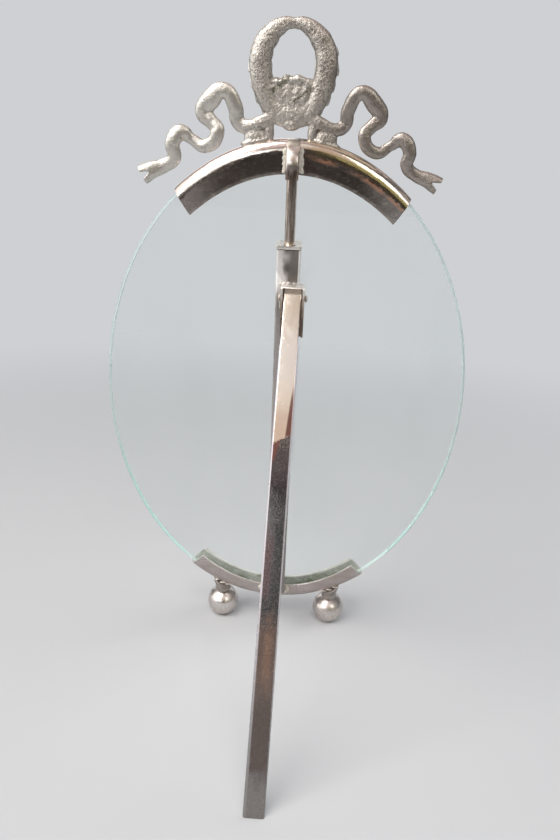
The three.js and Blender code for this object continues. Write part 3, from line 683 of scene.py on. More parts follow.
def endGrowth(tree, geometry, finish):
    whole = tree.node("GeometryNodeRealizeInstances", {"Geometry": geometry})
    coated = tree.node("GeometryNodeSetMaterial", {"Geometry": whole, "Material": finish})
    tree.node("NodeGroupOutput", {"Geometry": coated})
    return tree


def grown(name, tree, values):
    host = placed(name, bpy.data.meshes.new(name))
    modifier = host.modifiers.new("growth", "NODES")
    modifier.node_group = tree.nodeTree
    for item in tree.nodeTree.interface.items_tree:
        if item.in_out == "INPUT":
            modifier[item.identifier] = values[item.name]
    return tidied(settled(host))


def guide(name, points, closed=False, smooth=False):  # curve for a tree to follow: place and radius
    curve = bpy.data.curves.new(name, "CURVE")
    curve.dimensions = "3D"
    if smooth:
        spline = curve.splines.new("BEZIER")
        spline.bezier_points.add(len(points) - 1)
        for knot, (place, radius) in zip(spline.bezier_points, points):
            knot.co, knot.radius = place, radius
            knot.handle_left_type = knot.handle_right_type = "AUTO"
    else:
        spline = curve.splines.new("POLY")
        spline.points.add(len(points) - 1)
        for knot, (place, radius) in zip(spline.points, points):
            knot.co, knot.radius = (*place, 1), radius
    spline.use_cyclic_u = closed
    return bpy.data.objects.new(name, curve)


# Clips: a channel section bent along the rim

clip = {
    "half": 3.3, "wall": 0.8, "lip": 7.4, "shoulder": 2.6, "drop": 4, "lipRound": 0.3,
    "steps": 150, "skinSteps": 14, "boreSteps": 8, "lipSteps": 4, "ripples": [(9, 0.05), (3.5, 0.02)],
    "rows": [-3.6, -4.6, -5.5, -6.4],  # so that a wall can be less than dead flat
    "letDown": 3.2,  # below the rim, where a wall starts to be let down
    "slantFrom": 0.75,  # share of the half span, where the slanting end starts
}


def arc(middle, radii, start, end, steps):
    angles = [radians(start + (end - start) * i / steps) for i in range(steps + 1)]
    return [(middle[0] + radii[0] * cos(a), middle[1] + radii[1] * sin(a)) for a in angles]


def channelSection():  # outward from the rim, and back from the channel's middle
    half, wall = clip["half"], clip["wall"]
    bend, level = half - clip["shoulder"], oval["clipRise"] - clip["drop"]
    skin = (clip["drop"], clip["shoulder"])
    bore = (clip["drop"] - wall, clip["shoulder"] - wall)
    fine, plain, short = clip["skinSteps"], clip["boreSteps"], clip["lipSteps"]
    outer = arc((level, bend), skin, 90, 0, fine) + arc((level, -bend), skin, 0, -90, fine)
    inner = arc((level, -bend), bore, -90, 0, plain) + arc((level, bend), bore, 0, 90, plain)
    edge, walls = clip["lipRound"], clip["rows"]
    foot, ease, near, far = edge - clip["lip"], (edge, edge), half - edge, half - wall + edge
    front = arc((foot, -near), ease, -90, -180, short) + arc((foot, -far), ease, -180, -270, short)
    rear = arc((foot, far), ease, 270, 180, short) + arc((foot, near), ease, 180, 90, short)
    return (
        outer
        + [(row, -half) for row in walls] + front
        + [(row, wall - half) for row in reversed(walls)] + inner
        + [(row, half - wall) for row in walls] + rear
        + [(row, half) for row in reversed(walls)]
    )


def inChannel(across, back, up):  # nearer the channel's inner skin than its outer one
    wide, high, half = oval["halfWidth"], oval["halfHeight"], clip["wall"] / 2
    reach = sqrt((across / wide) ** 2 + (up / high) ** 2)
    out = (reach - 1) * reach / sqrt((across / wide ** 2) ** 2 + (up / high ** 2) ** 2)
    aside = abs(back - oval["clipBack"])
    over = max(out - oval["clipRise"] + clip["drop"], 0) / (clip["drop"] - half)
    past = max(aside - clip["half"] + clip["shoulder"], 0) / (clip["shoulder"] - half)
    return over ** 2 + past ** 2 < 1


def trimmed(mesh, middle, span, look):  # ends cut a little slanting, rear lip let down or drawn up
    wide, high = oval["halfWidth"], oval["halfHeight"]
    for vertex in mesh.vertices:
        across, back, up = vertex.co
        turn = atan2(up / high, across / wide)
        outward = Vector((cos(turn) / wide, 0, sin(turn) / high)).normalized()
        out = outward.dot(vertex.co - Vector((wide * cos(turn), back, high * sin(turn))))
        share = (turn - radians(middle)) / radians(span / 2)
        low = -clip["letDown"] - out
        if back > oval["clipBack"] + 1 and low > 0:
            extra = look["endLip"] + (look["midLip"] - look["endLip"]) * (1 - share ** 2)
            vertex.co -= outward * extra * low / (clip["lip"] - clip["letDown"])
        inward = Vector((outward.z, 0, -outward.x)) * share
        slanting = max(abs(share) - clip["slantFrom"], 0) / (1 - clip["slantFrom"])
        vertex.co += inward * slanting * look["slant"] * (out + clip["lip"])
    mesh.update()
    return mesh


def bendTree():
    tree, given = growth("channelBend", {
        "Section": "Object", "Half width": "Float", "Half height": "Float",
        "Back": "Float", "Start": "Float", "Span": "Float", "Steps": "Int",
    })
    line = tree.node("GeometryNodeResampleCurve", {
        "Curve": tree.node("GeometryNodeCurvePrimitiveLine"), "Count": given["Steps"],
    }, {"mode": "COUNT"})
    turn = tree.node("GeometryNodeSplineParameter") * given["Span"] + given["Start"]
    across = tree.math("COSINE", turn) * given["Half width"]
    height = tree.math("SINE", turn) * given["Half height"]
    place = tree.node("ShaderNodeCombineXYZ", {"X": across, "Y": given["Back"], "Z": height})
    rim = tree.node("GeometryNodeSetPosition", {"Geometry": line, "Position": place})
    rim = tree.node("GeometryNodeSetCurveNormal", {"Curve": rim, "Normal": (0, 1, 0)}, {"mode": "FREE"})
    section = tree.shapeOf(given["Section"])
    return endGrowth(tree, tree.sweep(rim, section), given["Finish"])


channel = guide("channelSection", [((back, -out, 0), 1) for out, back in channelSection()], closed=True)
channelBend = bendTree()


def bentClip(name, node, middle, span, finish, body, look):
    mesh = grown(name, channelBend, {
        "Section": channel,
        "Half width": oval["halfWidth"],
        "Half height": oval["halfHeight"],
        "Back": oval["clipBack"],
        "Start": radians(middle - span / 2),
        "Span": radians(span),
        "Steps": clip["steps"],
        "Finish": finish.material,
    })
    trimmed(mesh, middle, span, look)
    rippled(mesh, clip["ripples"])
    inside = [inChannel(*face.center) for face in mesh.polygons]
    piece = setOut(name, mesh, body, [finish, channelFinish], [node], crease=50)
    piece.data.polygons.foreach_set("material_index", inside)


topLook = {"midLip": 1.1, "endLip": 0, "slant": 0.2}
bottomLook = {"midLip": -1.5, "endLip": -1.0, "slant": 0}
bentClip("topClip", "top_clip", 90, 70.4, topClipFinish, "upper_clip", topLook)
bentClip("bottomClip", "bottom_clip", -90, 66.8, bottomClipFinish, "stand", bottomLook)
print("clips bent")


# Glass: bevelled oval with a ground edge

glass = {"thick": 4, "bevelWide": 10.5, "bevelDeep": 1.4, "arris": 0.8, "ground": 0.6, "steps": 288}


def ovalRing(inset, back):
    wide, high = oval["halfWidth"], oval["halfHeight"]
    ring = []
    for i in range(glass["steps"]):
        a = 2 * pi * i / glass["steps"]
        out = Vector((high * cos(a), 0, wide * sin(a))).normalized()
        ring.append(Vector((wide * cos(a), back, high * sin(a))) - out * inset)
    return ring


def ovalGlass():
    front, rear = -glass["thick"] / 2, glass["thick"] / 2
    edgeFront = front + glass["bevelDeep"]
    mesh = lofted("ovalGlass", [
        ovalRing(glass["bevelWide"], front),
        ovalRing(glass["arris"], edgeFront - glass["arris"] * 0.2),
        ovalRing(0, edgeFront + glass["arris"] * 0.5),
        ovalRing(0, rear - glass["arris"]),
        ovalRing(glass["arris"], rear),
    ])
    rim = 1 - glass["ground"] / oval["halfHeight"]
    ground = [  # band and arrises
        hypot(face.center.x / oval["halfWidth"], face.center.z / oval["halfHeight"]) > rim
        for face in mesh.polygons
    ]
    plate = setOut("ovalGlass", mesh, "stand", [clearFinish, edgeFinish], ["glass_plate"], crease=4)
    plate.data.polygons.foreach_set("material_index", ground)


ovalGlass()
print("glass set")


# Crest: bands swept along branches and ribbons, a bow, leaves grown on the branches, fused and roughened

chance = Random(7)
crest = {
    "offset": 1.2,
    "voxel": 0.22,
    "softening": 6,
    "pairs": 9,
    "splay": radians(27),
    "spread": 0.5,
    "leafLong": 6.4,
    "leafWide": 3.0,
    "leafThick": 1.0,
    "leafScale": 0.36,  # for each millimetre of the branch's half width
    "leafFrom": 0.1,
    "leafTo": 0.98,
    "leafLift": -1.75,
    "berry": 0.75,
    "hollowDeep": 0.12,
    "grain": [(3.0, 0.10), (1.2, 0.04), (0.6, 0.015)],
    "sand": [(0.5, 0.055), (0.9, 0.05)],
    "sandWithin": (-16, 15, -0.3),
    "crumbs": 16,
}
branch = {"reach": 9.3, "width": 6.4, "rise": 29, "flat": 0.6, "weave": 0, "over": 0}
branchPoints = [  # shares of the branch's reach, width and rise
    (0.17, 0.53, 0.16), (0.54, 0.72, 0.23), (0.82, 0.88, 0.37), (0.97, 0.97, 0.55),
    (1, 1, 0.7), (0.8, 0.9, 0.86), (0.34, 0.6, 0.98), (-0.05, 0.38, 1),
]
ribbon = {
    "reach": 45, "width": 5.4, "rise": 17, "flat": 0.55, "weave": 0.5,
    "over": 1,  # rises from the clip under it, and not from the crown as a branch does
    "notchWide": 3.0, "notchLong": 2.8,
}
ribbonPoints = [  # shares of the ribbon's reach, width and rise over the clip under it
    (0.09, 0.63, 0.37), (0.19, 0.65, 0.3), (0.276, 0.67, 0.26), (0.344, 0.72, 0.38), (0.364, 0.76, 0.65),
    (0.436, 0.72, 0.99), (0.522, 0.93, 0.95), (0.571, 0.85, 0.81), (0.522, 0.7, 0.6), (0.48, 0.72, 0.39),
    (0.564, 0.67, 0.25), (0.658, 0.54, 0.53), (0.724, 0.83, 0.765), (0.782, 0.76, 0.73), (0.776, 0.69, 0.47),
    (0.849, 0.7, 0.506), (0.933, 0.85, 0.68), (1, 1, 0.82),
]
bow = {
    "rise": 6.4, "drop": 2.6, "reach": 11.6, "width": 5, "deep": 1.3, "head": 0.42,
    "core": ((0, (7, 1.5, 3.9)), (2.6, (5.8, 1.25, 5.6)), (-2.6, (2.8, 1.6, 1.9))),  # rise and half sizes
    "rimStep": 1.5, "rimRise": 9.4, "rimBend": 0.08, "crumbDrop": 1.6, "crumbDeep": 0.6,
    "cup": (3.4, 0.9, 1.0), "cupLean": 37, "cups": ((4.0, 13.4), (-3.6, 11.6)), "cupBack": 2.0,
    "stub": 6.4, "stubRise": 2.6, "stubHalf": (1.5, 1.3, 3.8), "stubLean": 6,
}
ribbonHand = {1: (1.1, 0.96), -1: (1, 1)}  # width and rise: no two castings are filed alike
bowLobes = [  # lean from upright, shares of the lobes' reach and width
    (-55, 0.76, 0.88), (-27, 1.02, 1.04), (-9.5, 1, 1), (9.5, 1, 1), (27, 1.02, 1.04), (55, 0.76, 0.88),
]
lug = {"reach": 10.4, "half": (3.4, 1.5, 3.6), "foot": (4.7, 1.7, 1.3), "rise": 0.8, "lean": 12.8}


def sweepTree():
    tree, given = growth("bandSweep", {"Path": "Object", "Section": "Object"})
    path = tree.shapeOf(given["Path"])
    path = tree.node("GeometryNodeSetCurveNormal", {"Curve": path, "Normal": (0, 1, 0)}, {"mode": "FREE"})
    section = tree.shapeOf(given["Section"])
    swept = tree.sweep(path, section, Scale=tree.node("GeometryNodeInputRadius"))
    return endGrowth(tree, swept, given["Finish"])


def bandSection(name, flat):  # rounded flat section, one unit to each side
    points = []
    for j in range(24):
        a = 2 * pi * j / 24
        points.append(((flat * sin(a), cos(a) * (1 + 0.12 * sin(a) ** 2), 0), 1))
    return guide(name, points, closed=True)


def bandKnots(band, points, side, hand=(1, 1)):  # places and half widths along a branch or a ribbon
    return [(
        (
            side * band["reach"] * reach + crest["offset"],
            oval["clipBack"] + band["weave"] * sin(pi / 2 * i),
            crownHeight(band["over"] * band["reach"] * reach) + band["rise"] * rise * hand[1],
        ),
        band["width"] * width / 2 * hand[0],
    ) for i, (reach, width, rise) in enumerate(points)]


def bowSpots():
    base = crownHeight(0) + bow["rise"]
    middle, back = crest["offset"], oval["clipBack"]
    spots = [(middle, back, base + rise, *half) for rise, half in bow["core"]]
    for lean, reachShare, widthShare in bowLobes:
        reach, wide = bow["reach"] * reachShare, bow["width"] * widthShare / 2
        head = reach * bow["head"]
        across, up = sin(radians(lean)), cos(radians(lean))
        foot = base - bow["drop"] / 2
        spots.append((
            middle + across * (reach - head), back, foot + up * (reach - head), wide, bow["deep"], head, lean,
        ))
    for _ in range(crest["crumbs"]):
        lean, reach = radians(chance.uniform(-62, 62)), chance.uniform(1, 9)
        size = chance.uniform(0.5, 1.0)
        spots.append((
            middle + sin(lean) * reach, back + chance.uniform(0.4, 0.8),
            base + cos(lean) * reach - bow["crumbDrop"], size, bow["crumbDeep"], size,
        ))
    for i in range(-4, 5):  # ragged rim
        across, size = i * bow["rimStep"], chance.uniform(0.8, 1.3)
        depth = back + chance.uniform(0.2, 0.7)
        height = base + bow["rimRise"] - bow["rimBend"] * across ** 2 + chance.uniform(-0.6, 0.6)
        spots.append((middle + across, depth, height, size * 1.2, 1.0, size))
    for side in (-1, 1):
        foot = crownHeight(bow["stub"]) + bow["stubRise"]
        spots.append((middle + side * bow["stub"], back, foot, *bow["stubHalf"], side * bow["stubLean"]))
        for half, rise in ((lug["half"], lug["rise"]), (lug["foot"], 0)):
            seat = crownHeight(lug["reach"]) + rise
            spots.append((middle + side * lug["reach"], back, seat, *half, side * lug["lean"]))
    return spots


def tailNotch(end, before):  # wedge that leaves the swallow tail at a ribbon's end
    along = (Vector(end) - Vector(before)).normalized()
    along.y = 0
    aside = Vector((along.z, 0, -along.x)) * ribbon["notchWide"] / 2
    past = Vector(end) + along
    corners = [Vector(end) - along * ribbon["notchLong"], past + aside, past - aside]
    return lofted("tailNotch", [[corner + Vector((0, back, 0)) for corner in corners] for back in (-5, 5)])


def laurelLeaf():  # along Y, its face towards +Z, with a sunk midrib
    long, wide, thick = crest["leafLong"], crest["leafWide"], crest["leafThick"]
    outline = [(0, 0.02), (0.12, 0.5), (0.3, 0.86), (0.48, 1), (0.68, 0.84), (0.86, 0.48), (1, 0.02)]
    rings = []
    for share, breadth in outline:
        half = wide / 2 * breadth
        crown = thick * sin(pi * min(0.15 + share * 0.8, 0.95))
        y = long * (share - 0.5)
        rings.append([
            (-half, y, 0), (-half * 0.55, y, crown * 0.8), (-half * 0.12, y, crown),
            (0, y, crown * 0.62), (half * 0.12, y, crown), (half * 0.55, y, crown * 0.8),
            (half, y, 0), (0, y, -thick * 0.6),
        ])
    return bpy.data.objects.new("laurelLeaf", lofted("laurelLeaf", rings))


def laurelTree():
    tree, given = growth("laurelGrowth", {
        "Branch": "Object", "Leaf": "Object", "Pairs": "Int",
        "Splay": "Float", "Spread": "Float", "Lift": "Float", "Berry": "Float",
    })
    branch = tree.shapeOf(given["Branch"])
    branch = tree.node("GeometryNodeTrimCurve", {
        "Curve": branch, "Start": crest["leafFrom"], "End": crest["leafTo"],
    }, {"mode": "FACTOR"})
    leaf = tree.shapeOf(given["Leaf"])
    points = tree.node("GeometryNodeCurveToPoints", {
        "Curve": branch, "Count": given["Pairs"],
    }, {"mode": "COUNT"})
    along = points.also("Tangent")
    half = tree.node("GeometryNodeInputRadius")
    sideways = tree.vector("CROSS_PRODUCT", (0, 1, 0), along)
    lift = tree.node("ShaderNodeCombineXYZ", {"Y": given["Lift"]})
    grownLeaves = []
    for side in (-1, 1):
        shift = half * given["Spread"] * side
        offset = tree.node("ShaderNodeVectorMath", {0: sideways, "Scale": shift}, {"operation": "SCALE"})
        offset = tree.vector("ADD", offset, lift)
        row = tree.node("GeometryNodeSetPosition", {"Geometry": points, "Offset": offset})
        heading = tree.node("ShaderNodeVectorRotate", {
            "Vector": along, "Axis": (0, 1, 0), "Angle": given["Splay"] * -side,
        }, {"rotation_type": "AXIS_ANGLE"})
        turn = tree.node("FunctionNodeAxesToRotation", {
            0: (0, -1, 0), 1: heading,
        }, {"primary_axis": "Z", "secondary_axis": "Y"})
        grownLeaves.append(tree.node("GeometryNodeInstanceOnPoints", {
            "Points": row, "Instance": leaf, "Rotation": turn, "Scale": half * crest["leafScale"],
        }))
    berry = tree.node("GeometryNodeMeshIcoSphere", {"Radius": given["Berry"], "Subdivisions": 2})
    row = tree.node("GeometryNodeSetPosition", {"Geometry": points, "Offset": lift})
    berries = tree.node("GeometryNodeInstanceOnPoints", {"Points": row, "Instance": berry})
    both = tree.node("GeometryNodeJoinGeometry", {"Geometry": [*grownLeaves, berries]})
    return endGrowth(tree, both, given["Finish"])


def crestCasting():
    leaf, laurel, sweep = laurelLeaf(), laurelTree(), sweepTree()
    branchSection = bandSection("branchSection", branch["flat"])
    ribbonSection = bandSection("ribbonSection", ribbon["flat"])
    parts = [lumps("crestBow", bowSpots())]
    notches = []
    for side in (-1, 1):
        stem = guide("laurelBranch", bandKnots(branch, branchPoints, side), smooth=True)
        parts.append(grown("laurelStem", sweep, {
            "Path": stem, "Section": branchSection, "Finish": crestFinish.material,
        }))
        parts.append(grown("laurelLeaves", laurel, {
            "Branch": stem,
            "Leaf": leaf,
            "Pairs": crest["pairs"],
            "Splay": crest["splay"],
            "Spread": crest["spread"],
            "Lift": crest["leafLift"],
            "Berry": crest["berry"],
            "Finish": crestFinish.material,
        }))
        knots = bandKnots(ribbon, ribbonPoints, side, ribbonHand[side])
        parts.append(grown("ribbonBand", sweep, {
            "Path": guide("ribbonPath", knots, smooth=True),
            "Section": ribbonSection,
            "Finish": crestFinish.material,
        }))
        notches.append(tailNotch(knots[-1][0], knots[-2][0]))
    cupBack = oval["clipBack"] + bow["cupBack"]
    notches.append(lumps("bowCups", [
        (crest["offset"] + across, cupBack, crownHeight(0) + rise, *bow["cup"], bow["cupLean"])
        for across, rise in bow["cups"]
    ]))
    fused, softened = melted(crest["voxel"], crest["softening"])
    notch = bpy.data.objects.new("tailNotches", joined("tailNotches", notches))
    mesh = worked(joined("crestCasting", parts), [
        fused,
        ("BOOLEAN", {"object": notch, "operation": "DIFFERENCE", "solver": "MANIFOLD"}),
        fused,
        softened,
    ])
    rippled(mesh, crest["grain"])
    rippled(mesh, crest["sand"], crest["sandWithin"])
    hollowed(mesh, crest["hollowDeep"])
    print("crest faces:", len(mesh.polygons))
    return setOut("crestCasting", mesh, "upper_clip", [crestFinish], ["crest_casting"], crease=180)


crestCasting()


# Strap over the rod's end: a crowned strip

strap = {
    "wide": 3.8, "thick": 0.9, "tip": 0.2, "crown": 0.35,
    "front": 1.1, "bend": 1.9, "inner": 9.2, "long": 10.3, "sink": 0.05, "endSlim": 0.7,
    "rims": {1: 0.45, 0.97: 0.8},  # share of the width, and of the thickness there
}


def rodStrap():
    low = crownHeight(0) - strap["sink"]
    bottom = crownHeight(0) - strap["long"]
    bendUp = bottom + strap["long"] / 3
    path = [((strap["front"], low), (0, 1)), ((strap["bend"] - 0.4, low), (0, 1))]
    for i in range(25):
        a = pi / 2 * (1 - i / 24)
        wide, high = strap["inner"] - strap["bend"], low - bendUp
        out = Vector((high * cos(a), wide * sin(a))).normalized()
        path.append(((strap["bend"] + wide * cos(a), bendUp + high * sin(a)), tuple(out)))
    path += [((strap["inner"], bottom + 0.25), (1, 0)), ((strap["inner"], bottom), (1, 0))]
    rings = []
    for i, ((back, up), (outBack, outUp)) in enumerate(path):
        slim = strap["endSlim"] if i == len(path) - 1 else 1 - (1 - strap["tip"]) * max(outUp, 0) ** 2
        ring = []
        for share in (-1, -0.97, -0.85, -0.6, -0.3, 0, 0.3, 0.6, 0.85, 0.97, 1):
            rim = strap["rims"].get(abs(share), 1)
            out = (strap["thick"] * rim + strap["crown"] * (1 - share ** 2)) * slim
            ring.append((share * strap["wide"] / 2, back + outBack * out, up + outUp * out))
        for share in (0.96, 0, -0.96):
            ring.append((share * strap["wide"] / 2, back, up))
        rings.append(ring)
    return setOut("rodStrap", lofted("rodStrap", rings), "upper_clip", [strapFinish], ["rod_strap"])


rodStrap()
print("strap bent")


# Solder: lumps run together


solder = {"voxel": 0.16, "fineVoxel": 0.14, "softening": 5, "ripples": [(1.5, 0.12), (0.7, 0.08)]}


def soldered(name, parts, body, stands=(), finish=beadFinish, voxel=solder["voxel"]):
    mesh = rippled(worked(joined(name, parts), melted(voxel, solder["softening"])), solder["ripples"])
    return setOut(name, mesh, body, [finish], stands, crease=180)


strip = {"aside": 2.3, "back": 3.55, "bottom": 81.3, "pitch": 0.5, "deep": 0.38, "drops": 13}
spatter = [(
    side * (strip["aside"] + chance.uniform(0, 0.3)), strip["back"],
    strip["bottom"] + drop * strip["pitch"] + chance.uniform(-0.2, 0.2),
    chance.uniform(0.6, 0.85), strip["deep"], chance.uniform(0.6, 0.9),
) for side in (-1, 1) for drop in range(strip["drops"])]
soldered("saddleSolder", [
    lumps("saddleLumps", [(0, 5.8, 84.6, 1.6, 2.6, 3.0), (0, 4.2, 84.4, 2.1, 0.9, 3.2)]),
    lumps("saddleSpatter", spatter),
], "upper_clip", ["rod_saddle"], saddleFinish, solder["fineVoxel"])
soldered("hoodSolder", [lumps("hoodLumps", [
    (-4.5, 12.4, 49.5, 1.2, 1.5, 0.4), (-2.8, 12.8, 49.6, 1.4, 1.8, 0.45), (-0.9, 12.5, 49.6, 1.4, 1.6, 0.45),
    (0.7, 12.2, 49.5, 1.0, 1.3, 0.4), (1.9, 11.1, 48.8, 0.7, 0.5, 1.4), (2.0, 11.0, 45, 0.4, 0.35, 4.0),
    (-2.6, 11.0, 49.6, 2.2, 0.5, 0.5), (0.4, 11.0, 49.7, 1.8, 0.5, 0.6),
])], "stand")
# the solder beside the leg takes the paler, duller saddle solder, a painted reflection of a bright window
soldered("tubeSolder", [lumps("tubeLumps", [
    (5.8, 4.1, -84.0, 1.6, 0.9, 1.5), (-4.8, 4.1, -84.1, 1.0, 0.9, 1.5),
    (4.0, 4.2, -84.6, 0.6, 0.8, 1.8), (-4.0, 4.2, -84.6, 0.6, 0.8, 1.8),
])], "stand", (), saddleFinish)
collarReach = 22.9
for side, name in ((1, "right"), (-1, "left")):
    middle = side * lug["reach"] + crest["offset"]
    soldered("lugSolder." + name, [lumps("lugLumps", [
        (middle + shift, back, crownHeight(middle + shift) + rise, wide, 0.8, high, side * lug["lean"])
        for shift, back, rise, wide, high in (
            (-2.4, 0.7, 0.1, 1.6, 0.5), (0.2, 0.9, 0.3, 2.0, 0.6), (2.3, 0.8, 0.2, 1.6, 0.5),
        )
    ])], "upper_clip")
    soldered("collarSolder." + name, [lumps("collarLumps", [
        (side * (collarReach + shift), back, -crownHeight(collarReach + shift) - 0.1, 1.7, 0.7, 0.4)
        for shift, back in ((-2.2, 1.9), (0, 2.3), (2.2, 1.9))
    ])], "stand")
print("solder run")


# Rod, tube, cap, hood, pin and leg

rod = {"radius": 1.6, "endRadius": 1.1, "chamfer": 0.6, "top": 84.7, "shoulder": 20.1, "bottom": 15.9}
rodEase = {"end": 0.2, "shoulder": 0.1}
setOut("tensionRod", turned("tensionRod", [
    (0, rod["bottom"]),
    (rod["endRadius"] - rodEase["end"], rod["bottom"]),
    (rod["endRadius"], rod["bottom"] + rodEase["end"]),
    (rod["endRadius"], rod["shoulder"]),
    (rod["radius"] - rodEase["shoulder"], rod["shoulder"]),
    (rod["radius"], rod["shoulder"] + rodEase["shoulder"]),
    (rod["radius"], rod["top"] - rod["chamfer"]),
    (rod["radius"] - rod["chamfer"], rod["top"]),
    (0, rod["top"]),
], (0, spineBack)), "upper_clip", [rodFinish], ["tension_rod"])

easedPieces = [  # piece, CAD node, body, finish, easing of its edges
    ("spineTube", "spine_tube", "stand", tubeFinish, 0.25),
    ("tubeCap", "tube_cap", "stand", hoodFinish, 0.25),
    ("hingeHood", "hinge_hood", "stand", hoodFinish, 0.2),
    ("hingePin", "hinge_pin", "stand", hoodFinish, 0.12),
    ("easelLeg", "easel_leg", "leg", legFinish, 0.16),
    ("springWasher", "spring_washer", "upper_clip", rodFinish, 0.1),
    ("rodNut", "rod_nut", "upper_clip", rodFinish, 0.15),
    ("footStud.right", "foot_stud_right", "stand", rodFinish, 0.1),
    ("footStud.left", "foot_stud_left", "stand", rodFinish, 0.1),
]
cap = {"lift": 1.1, "thin": 0.4, "dish": 0.5, "middle": 59.7, "bore": 2.6, "tubeFrom": 40}
hood = {"roof": 49, "droop": 1.2, "rear": 17, "deep": 5}


def handFitted(name, mesh):  # cap set high and dished, hood's roof sloping, leg broader below the hood
    for vertex in mesh.vertices:
        across, back, up = vertex.co
        if name == "spineTube" and up > cap["tubeFrom"]:
            vertex.co.z += cap["lift"]
        if name == "tubeCap":
            inner = hypot(across, back - spineBack) < cap["bore"]
            vertex.co.z += cap["lift"] - (cap["thin"] + cap["dish"] * inner) * (up > cap["middle"])
        if name == "hingeHood" and up > hood["roof"]:
            vertex.co.z -= hood["droop"] * min(max((hood["rear"] - back) / hood["deep"], 0), 1)
        if name == "easelLeg":
            share = min(max((leg["spreadFrom"] - up) / leg["spreadOver"], 0), 1)
            middle = upright["pinAcross"] + (upright["pinUp"] - up) * leg["skew"]
            vertex.co.x += (across - middle) * (leg["spread"] - 1) * share
    return mesh


for name, node, body, finish, edge in easedPieces:
    setOut(name, rounded(handFitted(name, copied(node)), edge), body, [finish], [node])
print("spine and leg eased")


# Spring in the tube, wound at one length; in the real frame it shortens towards the cap as the clip is lifted

spring = {"turns": 13, "long": 38, "wire": 0.35, "coil": 2.25, "bottom": 20.4}


def springTree():
    tree, given = growth("springCoil", {
        "Turns": "Float", "Length": "Float", "Coil": "Float", "Wire": "Float", "Place": "Vector",
    })
    spiral = tree.node("GeometryNodeCurveSpiral", {
        "Resolution": 24, "Rotations": given["Turns"], "Start Radius": given["Coil"],
        "End Radius": given["Coil"], "Height": given["Length"],
    })
    wire = tree.node("GeometryNodeCurvePrimitiveCircle", {
        "Resolution": 12, "Radius": given["Wire"],
    }, {"mode": "RADIUS"})
    coil = tree.node("GeometryNodeTransform", {
        "Geometry": tree.sweep(spiral, wire), "Translation": given["Place"],
    })
    return endGrowth(tree, coil, given["Finish"])


coilMesh = grown("tensionSpring", springTree(), {
    "Turns": spring["turns"],
    "Length": spring["long"] - 2 * spring["wire"],
    "Coil": spring["coil"],
    "Wire": spring["wire"],
    "Place": (0, spineBack, spring["bottom"] + spring["wire"]),
    "Finish": rodFinish.material,
})
coil = setOut("tensionSpring", coilMesh, "stand", [rodFinish], ["tension_spring"], crease=180)
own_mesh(coil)
print("spring wound")


# Feet: balls filed flat where they stand, and flared collars

foot = {"radius": 6.55, "rise": 6.3, "ripples": [(7, 0.03), (2.5, 0.012)]}
collar = {"voxel": 0.14, "softening": 6, "ripples": [(1.6, 0.05)]}


def footBall(name, node):
    low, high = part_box(node)
    middle = Vector(((low.x + high.x) / 2, (low.y + high.y) / 2, foot["rise"] * mm))
    work = bmesh.new()
    bmesh.ops.create_uvsphere(work, u_segments=72, v_segments=48, radius=foot["radius"])
    mesh = rippled(poured(work, bpy.data.meshes.new(name)), foot["ripples"])
    mesh.transform(Matrix.Translation(standing.inverted() @ middle))
    for vertex in mesh.vertices:  # level with the floor
        below = min((standing @ vertex.co).z, 0)
        vertex.co -= standing.inverted().to_3x3() @ Vector((0, 0, below))
    return setOut(name, mesh, "stand", [ballFinish], [node], crease=60)


for side in ("right", "left"):
    footBall("footBall." + side, "foot_ball_" + side)
    flare = worked(copied("foot_collar_" + side), melted(collar["voxel"], collar["softening"]))
    rippled(flare, collar["ripples"])
    setOut("footCollar." + side, flare, "stand", [collarFinish], ["foot_collar_" + side], crease=180)
print("feet set")


# Studio: pale floor that runs out into the background, soft lamps, cards that only mirrors see

studio = {
    "floor": (0.60, 0.60, 0.61),
    "background": (0.62, 0.63, 0.65),
    "ambient": 0.55,
    "mirrored": 0.24,
    "mirroredFloor": (0.48, 0.47, 0.47),
    "fadeStart": 0.14,
    "fadeEnd": 0.75,
}


def paleFloor():
    bpy.ops.mesh.primitive_grid_add(size=12, x_subdivisions=8, y_subdivisions=8)
    floor = bpy.context.object
    floor.name = "paleFloor"
    finish = Finish("paleFloor", "floor")
    where = finish.node("ShaderNodeTexCoord", out="Object")
    far = finish.vector("LENGTH", where, out="Value").rising(studio["fadeStart"], studio["fadeEnd"])
    path = finish.node("ShaderNodeLightPath", out="Is Glossy Ray")
    inMirror = path * (1 - path.also("Is Transmission Ray"))
    top = finish.blend(inMirror, studio["floor"], studio["mirroredFloor"])
    near = finish.node("ShaderNodeBsdfDiffuse", {"Color": top})
    strength = 1 - inMirror * (1 - studio["mirrored"])
    glow = finish.node("ShaderNodeEmission", {"Color": opaque(studio["background"]), "Strength": strength})
    finish.shown(finish.node("ShaderNodeMixShader", {0: far, 1: near, 2: glow}))
    floor.data.materials.append(finish.material)


def studioWorld():
    world = bpy.data.worlds.new("studio")
    scene.world = world
    world.use_nodes = True
    tree = Tree(world.node_tree)
    world.node_tree.nodes.clear()
    path = tree.node("ShaderNodeLightPath", out="Is Camera Ray")
    seen = path + path.also("Is Transmission Ray")
    inMirror = path.also("Is Glossy Ray") * (1 - seen)
    ambient = studio["ambient"]
    strength = ambient + seen * (1 - ambient) + inMirror * (studio["mirrored"] - ambient)
    sky = tree.node("ShaderNodeBackground", {"Color": opaque(studio["background"]), "Strength": strength})
    tree.node("ShaderNodeOutputWorld", {"Surface": sky})


